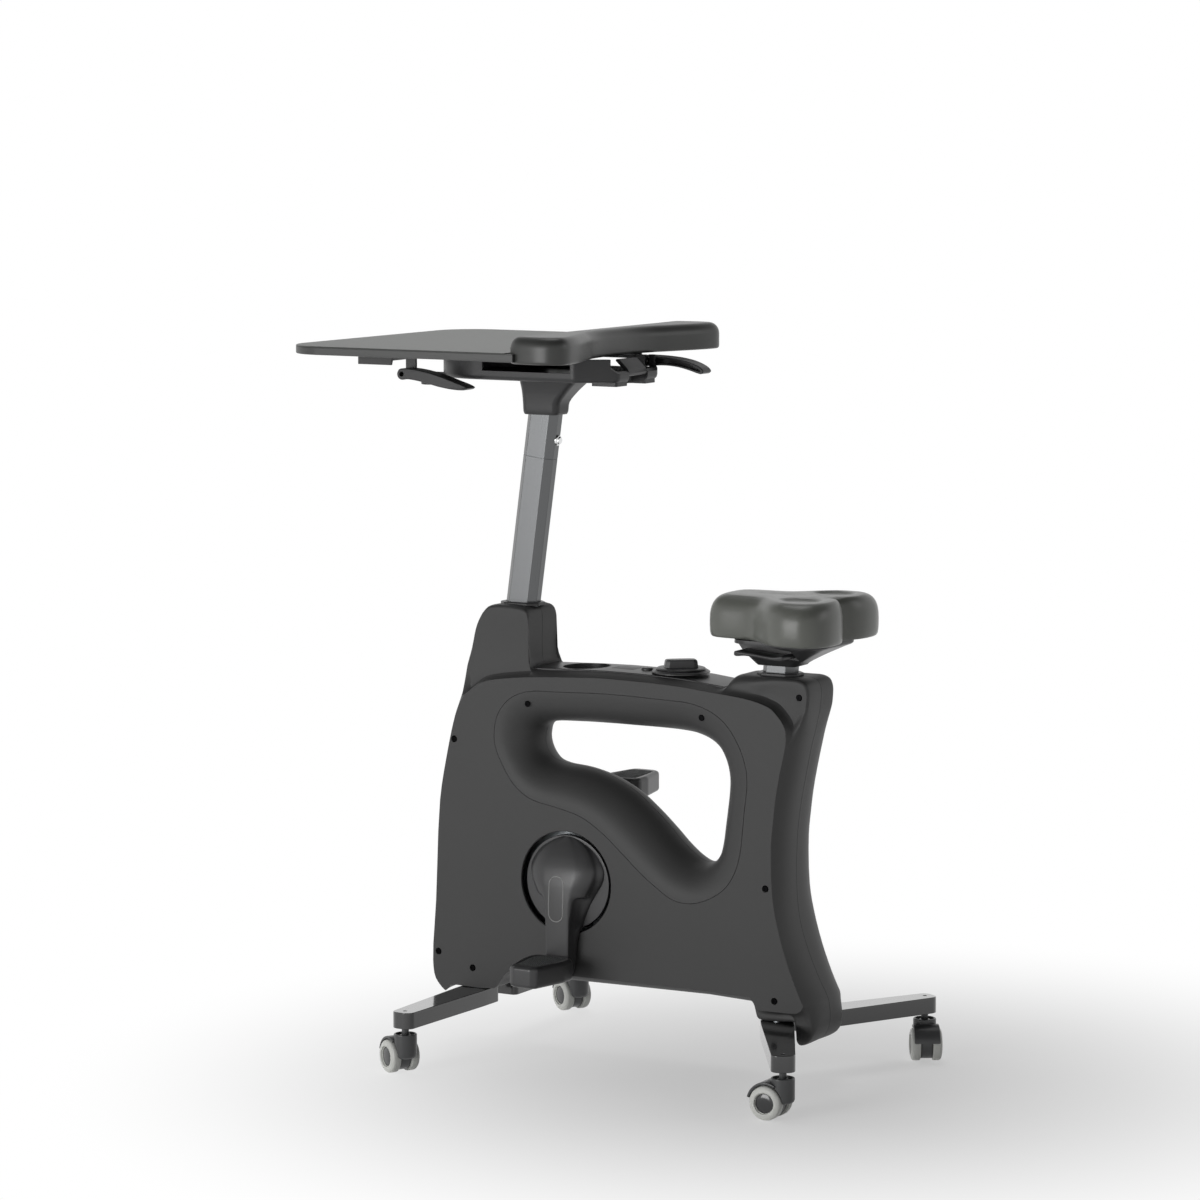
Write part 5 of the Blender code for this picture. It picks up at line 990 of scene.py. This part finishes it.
class BIKE_OT_posts(bpy.types.Operator):
    """Anodised posts with their collars, groove line and button"""
    bl_idname = "bike.posts"
    bl_label = "Posts"

    def execute(self, context):
        groove = (GROOVE_Z - COLUMN_FOOT[1]) / UPRIGHT
        line = [(groove - 0.5, 0), (groove - 0.25, 0.45), (groove + 0.25, 0.45), (groove + 0.5, 0)]
        self.tube("column", COLUMN, COLUMN_BELOW, COLUMN_ABOVE, line, "column_body")
        self.tube("saddle_post", POST, POST_BELOW, POST_ABOVE, [], "saddle_body")
        cap = [(0, 26.0), (8.2, 26.0), (8.2, 28.2), (7.4, 29.2), (6.6, 29.4), (6.2, 29.0), (6.0, 30.6),
               (4.8, 31.8), (0, 32.4)]
        button = Form().lathe(cap, "x", 48, (0, 0, (BUTTON_Z - COLUMN_FOOT[1]) / UPRIGHT))
        dress(button.piece("column_button", COLUMN), "chromium_polished", "column_body")
        ring = rounded(octagon(68, 13.5), 3.0, 4)
        for node, foot, tube in (("column_collar", COLUMN_FOOT, COLUMN), ("saddle_collar", POST_FOOT, POST)):
            levels = ((0.3, 0.3), (0.6, 0), (3.2, 0), (4.0, 0.4), (4.5, 1.2), (4.8, 2.4))
            collar = Form().stack(ring, levels).piece(node + "_ring", Matrix.Translation((foot[0], 0, foot[1])))
            boolean(collar, Form().prism(octagon(POST_WIDTH + 0.7), -10, 25), matrix=tube)
            dress(collar, "nylon_glass_filled", "base", node, sharp=30.0, edge=0.3, weigh=True)
        return {"FINISHED"}

    def tube(self, node, leaning, low, high, line, body):
        outline = rounded(octagon(POST_WIDTH), 1.6, 4)
        levels = [(low, 0.4), (low + 0.4, 0), *line, (high - 0.4, 0), (high, 0.4), (high, 2.5), (low, 2.5)]
        rings = [[(x, y, z) for x, y in offset(outline, -shrink)] for z, shrink in levels]
        post = Form().loft(rings, closed=True).piece(node + "_tube", leaning)
        dress(post, "aluminium_anodised", body, node, sharp=32.0, weigh=True)


# Console

CUP_X = 2
CAP_X = 108
KNOB_X = 166
TRAY_HALF = 39.6
OPEN_TOP = 612


class BIKE_OT_console(bpy.types.Operator):
    """Console tray with its cup well, window, button and resistance knob"""
    bl_idname = "bike.console"
    bl_label = "Console"

    def execute(self, context):
        rings = []
        for x in np.linspace(-69.5, 261.5, 34):
            top = float(np.interp(x, (-73, -60, -30, 10, 60, 110, 160, 200, 240, 262),
                                  (600.0, 600.2, 601.2, 602.6, 603.6, 603.2, 602.0, 600.0, 595.6, 593.2)))
            over = [(x, y, top - 0.9 * (y / TRAY_HALF) ** 2)
                    for y in np.linspace(0.8 - TRAY_HALF, TRAY_HALF - 0.8, 9)]
            edge = over[0][2] - 0.9
            rings.append([(x, -TRAY_HALF, edge), *over, (x, TRAY_HALF, edge), (x, TRAY_HALF, top - 4.9),
                          (x, 0, top - 4.0), (x, -TRAY_HALF, top - 4.9)])
        tray = Form().loft(rings).piece("console_tray_moulded")
        boolean(tray, Form().bore(38.6, 557, 600.5, "z", 72, (CUP_X, 0, 0)), "UNION")
        well = [(0, 560), (33, 560), (35, 560.8), (35.6, 562.6), (36.3, 600.6), (36.9, 601.8), (38.2, 602.9),
                (38.2, OPEN_TOP), (0, OPEN_TOP)]
        holes = Form().lathe(well, "z", 72, (CUP_X, 0, 0))
        holes.lathe([(0, 590), (9.3, 590), (9.3, 602.4), (10.2, 604.0), (10.2, OPEN_TOP), (0, OPEN_TOP)],
                    "z", 40, (CAP_X, 0, 0))
        holes.bore(5.4, 590, OPEN_TOP, centre=(KNOB_X, 0, 0))
        window = rounded(box(52, 91, -14, 14), 4)
        boolean(tray, holes.prism(window, 601.8, 610))
        dress(tray, "abs_satin", "base", "console_tray", sharp=32.0, weigh=True)
        pane = Form().stack(window, ((601.5, 0.3), (603.0, 0.3), (603.3, 0.6), (603.4, 1.2)))
        dress(pane.piece("console_window"), "acrylic_smoked", "base")
        self.knob()
        cap = [(0, 594), (12, 594), (12, 596), (9, 596), (9, 605.2), (8.6, 606.1), (7.6, 606.6), (3, 606.3),
               (0, 606.2)]
        dress(Form().lathe(cap, "z", 48, (CAP_X, 0, 0)).piece("console_button_cap"), "abs_satin", "button",
              "console_button", sharp=40.0)
        return {"FINISHED"}

    def knob(self):
        ring = [(5.4, 603.5), (44, 603.5), (44, 604.9), (43.4, 605.7), (41.2, 606.1), (40.6, 606.7),
                (40.3, 607.5), (5.4, 607.5)]
        dress(Form().lathe(ring, "z", 96, (KNOB_X, 0, 0), True).piece("knob_base_ring"), "abs_satin", "base",
              "knob_base", sharp=40.0)
        at = Matrix.Translation((KNOB_X, 0, 0))
        dial = [(0, 592), (5.1, 592), (5.1, 607.8), (36.6, 607.8), (37.4, 608.2), (37.6, 608.9), (37.2, 609.8),
                (36.2, 610.5), (34.4, 610.9), (30, 611.1), (0, 611.4)]
        knob = Form().lathe(dial, "z", 96).piece("resistance_knob_dial", at)
        bar = rounded([(-25, -8), (-19, -11), (19, -11), (25, -8), (25, 8), (19, 11), (-19, 11), (-25, 8)], 2, 4)
        levels = ((609.0, 1.05), (611.6, 1.02), (613.0, 1.0), (618.6, 0.97), (621.2, 0.95), (622.2, 0.91),
                  (622.8, 0.85), (623.0, 0.76))
        grip = Form().loft([[(x * s, y * s, z) for x, y in bar] for z, s in levels])
        boolean(knob, grip, "UNION", at @ Matrix.Rotation(math.radians(38), 4, "Z"))
        dress(knob, "abs_satin", "dial", "resistance_knob", sharp=36.0, weigh=True)


# Saddle

SADDLE_HALF = [
    (234, 0), (234.5, 22), (237, 40), (244, 52), (258, 59), (281, 61.5), (300, 63), (312, 65), (326, 71),
    (341, 83), (357, 98), (374, 110), (393, 117), (411, 118), (430, 115.5), (445, 104), (454, 84), (456.5, 62),
    (454.5, 38), (448, 19), (439, 6), (436, 0),
]
SADDLE_REST = SADDLE_BOTTOM + 4.0


class BikeSaddleValues(bpy.types.PropertyGroup):
    dip: number("Dimple", 4.0, "Depth of each seat dimple, mm", min=0.0, max=12.0)
    height: number("Height", 64.0, "Cushion height, mm", min=50.0, max=90.0)


class BIKE_OT_saddle(bpy.types.Operator):
    """Foam saddle, its bracket and its lever"""
    bl_idname = "bike.saddle"
    bl_label = "Saddle"

    def execute(self, context):
        values = context.scene.bike_saddle
        outline = spread(mirrored(SADDLE_HALF), 5)
        # Share of the height, and share of the way in to the spine
        levels = [(0, 0.09), (0.008, 0.05), (0.03, 0.024), (0.1, 0.008), (0.25, 0.0), (0.44, 0.0),
                  (0.54, 0.006), (0.63, 0.02), (0.71, 0.042), (0.78, 0.074), (0.84, 0.112), (0.89, 0.158),
                  (0.93, 0.212), (0.96, 0.27), (0.98, 0.335)]
        levels += [(min(1.0, 0.988 + 0.03 * k / 18), 0.36 + 0.61 * k / 18) for k in range(19)]
        rings = [[self.point(x, y, rise, pull, values) for x, y in outline] for rise, pull in levels]
        cushion = Form().loft(rings).piece("saddle_foam")
        smooth = cushion.modifiers.new("even", "CORRECTIVE_SMOOTH")
        smooth.iterations = 3
        smooth.use_only_smooth = True
        settle(cushion)
        dress(cushion, "foam_skin_pebbled", "saddle_body", "saddle_cushion", sharp=60.0)
        self.bracket()
        self.lever()
        return {"FINISHED"}

    def point(self, x, y, rise, pull, values):
        """Pull an outline point in towards the spine, and sink it in a dimple or the rear crease."""
        lobe = clamp((x - 330) / 60) * max(0.0, 1 - max(0.0, pull - 0.56) * 1.2)
        spine = 286 + (x - 234) / 222 * 130
        px = x + (spine - x) * pull
        py = y + (y * 0.45 * lobe - y) * pull
        dip = values.dip * clamp((1.0 - math.hypot((px - 396) / 34, (abs(py) - 54) / 25)) / 0.28)
        crease = 2.4 * math.exp(-(py / 11) ** 2) * clamp((px - 300) / 90)
        return px, py, SADDLE_REST + values.height * rise - (dip + crease) * clamp((rise - 0.84) / 0.14)

    def bracket(self):
        rows = [(37, 306, 371, 25, 9), (34, 303, 374, 28, 11), (22, 294, 395, 42, 18), (8, 284, 424, 62, 28),
                (3, 281, 434, 67, 30), (-3.6, 281, 434, 67, 30)]
        bracket = Form().flared(rows, 0, SADDLE_BOTTOM).piece("saddle_bracket_cast")
        boolean(bracket, Form().prism(octagon(POST_WIDTH + 0.6), -10, POST_ABOVE + 0.3), matrix=POST)
        slot = [(274, -23), (384, -25.5), (384, -9), (344, -2.6), (274, -1.5)]
        boolean(bracket, Form().prism([(x, SADDLE_BOTTOM + z) for x, z in slot], -90, -34, "y"))
        dress(bracket, "nylon_glass_filled", "saddle_body", "saddle_bracket", sharp=34.0, edge=0.5,
              weigh=True)

    def lever(self):
        blade = [(-76, -0.5), (-60, 0), (-44, -0.6), (-28, -2.5), (-10, -4.4), (4, -3.6), (5.5, 0), (4, 3.6),
                 (-10, 1.6), (-28, 2.6), (-44, 4.2), (-60, 5.4), (-76, 6)]
        levels = ((-74, 1.6), (-73.2, 0.5), (-72, 0), (-36.2, 0), (-34.8, 0.5), (-34.3, 1.4))
        form = Form().stack(spread(blade, 4), levels, "y")
        dress(form.piece("saddle_lever_blade", Matrix.Translation((372, 0, SADDLE_BOTTOM - 18))),
              "nylon_glass_filled", "saddle_lever_body", "saddle_lever", sharp=40.0)


# Desk

PAD_HALF = [(12, 150), (12, 238), (16, 246), (26, 252), (46, 255.5), (70, 256.5), (88, 252), (99, 241),
            (103, 228), (101, 206), (95, 180), (86, 152), (76, 122), (66, 92), (59, 54), (57, 0)]
CARRIAGE_TOP = 1075.4


class BikeDeskValues(bpy.types.PropertyGroup):
    corner: number("Board corner", 68.0, "Radius of the board's front corners, mm", min=10.0, max=120.0)
    groove: number("Edge line", 0.5, "Depth of the line round the board's edge, mm", min=0.1, max=1.5)


class BIKE_OT_board(bpy.types.Operator):
    """Board with its edge line, and the wrist pad round its near edge"""
    bl_idname = "bike.board"
    bl_label = "Board and pad"

    def execute(self, context):
        values = context.scene.bike_desk
        outline = rounded(box(-385, 26, -258, 258), [values.corner, 0, 0, values.corner], 24)
        top = BOARD_TOP
        levels = ((top - BOARD_THICK, 1.2), (top - 12.6, 0.4), (top - 11.8, 0), (top - 2.6, 0),
                  (top - 2.3, values.groove), (top - 2.0, 0), (top - 1.0, 0.15), (top - 0.4, 0.6), (top, 1.6))
        board = Form().loft([[(max(x, -385) if x < 0 else 26, y, z) for x, y in offset(outline, -shrink)]
                             for z, shrink in levels]).piece("desktop_board")
        boolean(board, Form().prism(box(11.7, 31, -263, 263), top - 1.5, top + 5))
        dress(board, "laminate_pebbled", "desk_body", "desktop", sharp=34.0, weigh=True)
        self.pad()
        return {"FINISHED"}

    def pad(self):
        outline = spread(mirrored(PAD_HALF), 4)
        low, top = BOARD_TOP - 16.0, BOARD_TOP + 24.0
        levels = [(low, 3.0), (low + 0.7, 1.4), (low + 2.2, 0.3), (low + 5, 0), (top - 17, 0), (top - 12.5, 0.6),
                  (top - 9, 1.9), (top - 6, 3.8), (top - 3.8, 6.0), (top - 2.1, 8.4), (top - 0.8, 11.4),
                  (top, 15.0)]
        pad = Form().loft([[(x, y, z) for x, y in offset(outline, -shrink)] for z, shrink in levels])
        pad = pad.piece("wrist_pad_foam")
        boolean(pad, Form().prism(box(-20, 26.3, -270, 270), BOARD_TOP - BOARD_THICK - 0.3, BOARD_TOP - 1.2))
        boolean(pad, Form().prism(box(-20, 21, -101, 101), low - 7, BOARD_TOP - 12))
        dress(pad, "foam_skin_fine", "desk_body", "wrist_pad", sharp=38.0, edge=0.6, weigh=True)


class BIKE_OT_desk_gear(bpy.types.Operator):
    """Column head, carriage tub, rail, levers and paddle under the board"""
    bl_idname = "bike.desk_gear"
    bl_label = "Desk gear"

    def execute(self, context):
        self.head()
        self.carriage()
        self.levers()
        self.rail()
        return {"FINISHED"}

    def head(self):
        head_x = COLUMN_FOOT[0] + COLUMN_ABOVE * math.sin(math.radians(COLUMN_LEAN))
        rows = [(56, -31.7, 27, 20.4, 9), (52, -33.4, 29, 22, 10.5), (38, -34, 31, 23, 11), (20, -34.8, 46, 25, 11),
                (4, -36.4, 62, 29, 12), (0.4, -36.4, 62, 29, 12)]
        head = Form().flared(rows, head_x, TUB_BOTTOM).piece("column_head_cast")
        boolean(head, Form().prism(octagon(POST_WIDTH + 0.6), COLUMN_ABOVE - 48, COLUMN_ABOVE + 0.3), matrix=COLUMN)
        dress(head, "nylon_glass_filled", "column_body", "column_head", sharp=34.0, edge=0.5, weigh=True)

    def carriage(self):
        """A tub with a round nose, the nose arm with its disc, the tail block, and side slots."""
        low, top = TUB_BOTTOM, CARRIAGE_TOP
        waist = 1047.0
        nose = [(-138 + 98 * math.cos(t), 98 * math.sin(t))
                for t in (math.pi / 2 + math.tau * k / 96 for k in range(49))]
        tail = rounded([(-138, -98), (36, -98), (92, -62), (92, 62), (36, 98), (-138, 98)],
                       [0, 16, 14, 14, 16, 0], 8)
        outer = nose + tail[1:-1]
        tub = Form().stack(outer, ((low, 5), (low + 0.9, 3), (low + 3, 1), (waist, 0), (top - 0.5, 0),
                                   (top, 0.5))).piece("desk_carriage_tub")
        boolean(tub, Form().prism(offset(outer, -4), waist, top + 15))
        boolean(tub, Form().prism(box(50, 66, 66, 71.4), low + 3, top - 0.4), "UNION")
        eased_foot = ((low - 6, 0.5), (low - 5.5, 0), (low + 3.5, 0))
        boolean(tub, Form().stack(rounded(box(-268, -222, -37, -19), 3), eased_foot), "UNION")
        disc = [(0, low - 15.5), (13.6, low - 15.5), (14.6, low - 15), (15, low - 14), (15, low - 4), (0, low - 4)]
        boolean(tub, Form().lathe(disc, "z", 64, (-259, -28, 0)), "UNION")
        boolean(tub, Form().stack(rounded(box(44, 88, -60, 60), 4), eased_foot), "UNION")
        slots = Form()
        for near, far in ((-120, -80), (80, 120)):
            slots.prism(box(-124, 30, low + 14, low + 27), near, far, "y")
        boolean(tub, slots.prism(rounded(box(60, 110, -28, 28), 5), low - 10, top + 15))
        ends = Form().prism(box(47, 110, 71.6, 110), low + 16.2, top + 15)
        ends.prism([(67, top + 1), (120, top + 1), (120, low - 4), (93, low + 12)], -68, 68, "y")
        boolean(tub, ends)
        dress(tub, "nylon_glass_filled", "column_body", "desk_carriage", sharp=34.0, edge=0.4, weigh=True)

    def levers(self):
        left = [(-8.8, 0), (-6.5, -6), (-1, -8.8), (8, -7.6), (36, -11), (66, -17.5), (94, -21), (112, -20.5),
                (116, -17.5), (110, -14), (94, -9), (68, -1), (40, 5.4), (18, 8.4), (3, 8.8), (-5, 7.2)]
        right = [(-7, -3), (0, -7), (16, -6), (40, -5), (62, -7), (80, -11), (94, -15), (101, -16), (105, -12.5),
                 (101, -7), (84, 1), (62, 6), (38, 8.5), (14, 9.5), (-2, 9), (-7, 4)]
        for name, blade, origin, low, pin, hollow in (
                ("left_desk_lever", left, (-250, -113, TUB_BOTTOM + 6), -13.0, 4.0, False),
                ("right_desk_lever", right, (58, 86, TUB_BOTTOM + 24), -14.3, 3.2, True)):
            high = 13.0
            levels = ends(low, high, [(0, 1.8), (0.4, 0.8), (1.4, 0.1), (2.4, 0)])
            at = Matrix.Translation(origin)
            lever = Form().stack(spread(blade, 4), levels, "y").piece(name + "_blade", at)
            boolean(lever, Form().bore(pin, low - 2, high + 2, "y", 28, origin))
            if hollow:
                boolean(lever, Form().prism(offset(blade, -3.0)[1:-1], low - 2, low + 10, "y"), matrix=at)
            dress(lever, "nylon_glass_filled", name + "_body", name, sharp=36.0, weigh=True)
        paddle = [(-3.6, -1), (0, -2.4), (20, -2.4), (26, -1), (27.6, 3), (25, 9), (9.5, 23.5), (4.5, 23.5),
                  (3.5, 21), (18, 7.5), (18, 3), (4, 2.6), (-3.6, 2.6)]
        levels = ends(-27.6, 27.6, [(0, 0.7), (0.6, 0.1), (1.6, 0)])
        form = Form().stack(rounded(paddle, 1.0, 4), levels, "y")
        dress(form.piece("desk_paddle_blade", Matrix.Translation((64, 0, TUB_BOTTOM + 10))),
              "nylon_glass_filled", "paddle_body", "desk_paddle", sharp=40.0)

    def rail(self):
        """The CAD rail with flat faces joined and edges rounded."""
        source = NODES["desk_rail"]
        mesh = source.data.copy()
        bm = bmesh.new()
        bm.from_mesh(mesh)
        bmesh.ops.remove_doubles(bm, verts=bm.verts, dist=0.00002)
        bmesh.ops.dissolve_limit(bm, angle_limit=math.radians(1.2), verts=bm.verts, edges=bm.edges)
        bm.to_mesh(mesh)
        bm.free()
        dress(show("desk_rail_eased", mesh), "steel_black_coat", source["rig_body"], "desk_rail",
              sharp=30.0, edge=0.5, weigh=True)


# Screws

# Name, depth of the seat's floor across the bike, and places as x and z
SCREWS = (("body_screws", 59.3, SCREW_SEATS), ("trim_screws", 58.8, TRIM_SEATS), ("block_screws", 41.0, [BLOCK_SEAT]))
SCREW_RADIUS = 4.9


class BIKE_OT_screws(bpy.types.Operator):
    """Recessed screws in the body's seats"""
    bl_idname = "bike.screws"
    bl_label = "Screws"

    def execute(self, context):
        group, sockets = on_points("screws_on_points", ("Radius", "Height", "Socket", "Turn"), self.screw)
        for name, depth, places in SCREWS:
            for word, side in SIDES:
                form = Form()
                for x, z in places:
                    form.bm.verts.new((x, side * (depth + 0.6), z))
                screws = form.piece(word + "_" + name)
                # The near black of the screw heads is partly black oxide and partly painted shade of a deep screw
                # hole; the heads nearly fill their seats.
                grow(screws, group, sockets, Radius=SCREW_RADIUS * MM, Height=1.2 * MM,
                     Socket=SCREW_RADIUS * 0.45 * MM, Turn=-side * math.pi / 2, Finish=FINISH["black_oxide_and_hole_shade"])
                dress(screws, "black_oxide_and_hole_shade", "base", sharp=30.0)
        return {"FINISHED"}

    def screw(self, group, start):
        """A tapered head with a hexagon socket, turned to face outward."""
        top = add(group, "Math", {0: start["Radius"]}, {"operation": "MULTIPLY", 1: 0.8})
        head = add(group, "GeometryNodeMeshCone",
                   {"Radius Bottom": start["Radius"], "Radius Top": top, "Depth": start["Height"]},
                   {"Vertices": 32, "Side Segments": 1})
        hexagon = add(group, "GeometryNodeMeshCylinder", {"Radius": start["Socket"], "Depth": start["Height"]},
                      {"Vertices": 6})
        lifted = add(group, "Math", {0: start["Height"]}, {"operation": "MULTIPLY", 1: 0.9})
        raised = add(group, "GeometryNodeTransform",
                     {"Geometry": hexagon, "Translation": add(group, "CombineXYZ", {2: lifted})})
        cut = add(group, "GeometryNodeMeshBoolean", {0: head, 1: raised},
                  {"operation": "DIFFERENCE", "solver": "EXACT"})
        return {"Instance": cut, "Rotation": add(group, "CombineXYZ", {0: start["Turn"]})}


# Finishes of the CAD nodes that keep their own shape
PLAIN = {
    "steel_zinc_plated": ["left_frame_plate", "right_frame_plate", "column_sleeve", "saddle_sleeve",
                          "front_beam", "rear_beam", "magnet_bracket", "crank_axle", "flywheel_axle",
                          "left_pedal_spindle", "right_pedal_spindle"],
    "chromium_polished": ["left_bearing", "right_bearing", "saddle_spring_rod", "desk_spring_rod"],
    "neoprene_dry": ["drive_belt", "tension_cable"],
    "iron_turned": ["flywheel"],
    "nylon_glass_filled": ["drive_pulley"],
    "powder_coat_gloss": ["saddle_spring_cylinder", "desk_spring_cylinder"],
}


class BIKE_OT_plain(bpy.types.Operator):
    """Finishes for the nodes that keep their own shape"""
    bl_idname = "bike.plain"
    bl_label = "Plain nodes"

    def execute(self, context):
        for finish, nodes in PLAIN.items():
            for node in nodes:
                NODES[node].data.materials.clear()
                NODES[node].data.materials.append(FINISH[finish])
        known = sum(PLAIN.values(), [])
        bare = [name for name, node in NODES.items() if not node.hide_render and name not in known]
        if bare:
            raise RuntimeError("no finish for " + ", ".join(bare))
        return {"FINISHED"}


STEPS = (("bike_stage", BikeStageValues), ("bike_body", BikeBodyValues), ("bike_drive", BikeDriveValues),
         ("bike_floor", BikeFloorValues), ("bike_saddle", BikeSaddleValues), ("bike_desk", BikeDeskValues))
OPERATORS = (BIKE_OT_stage, BIKE_OT_shells, BIKE_OT_trims, BIKE_OT_cranks, BIKE_OT_pedals, BIKE_OT_legs,
             BIKE_OT_castors, BIKE_OT_posts, BIKE_OT_console, BIKE_OT_saddle, BIKE_OT_board, BIKE_OT_desk_gear,
             BIKE_OT_screws, BIKE_OT_plain)


class BIKE_PT_panel(bpy.types.Panel):
    bl_idname = "BIKE_PT_panel"
    bl_label = "Desk bike"
    bl_space_type = "VIEW_3D"
    bl_region_type = "UI"
    bl_category = "Desk bike"

    def draw(self, context):
        for name, group in STEPS:
            values = getattr(context.scene, name)
            for key in group.__annotations__:
                self.layout.prop(values, key)
        for operator in OPERATORS:
            self.layout.operator(operator.bl_idname)


def register():
    for name, group in STEPS:
        bpy.utils.register_class(group)
        setattr(bpy.types.Scene, name, bpy.props.PointerProperty(type=group))
    for item in (*OPERATORS, BIKE_PT_panel):
        bpy.utils.register_class(item)


def unregister():
    for item in reversed((*OPERATORS, BIKE_PT_panel)):
        bpy.utils.unregister_class(item)
    for name, group in reversed(STEPS):
        delattr(bpy.types.Scene, name)
        bpy.utils.unregister_class(group)


def main():
    register()
    make_finishes()
    for operator in OPERATORS:
        module, word = operator.bl_idname.split(".")
        getattr(getattr(bpy.ops, module), word)()


if __name__ == "__main__":
    main()
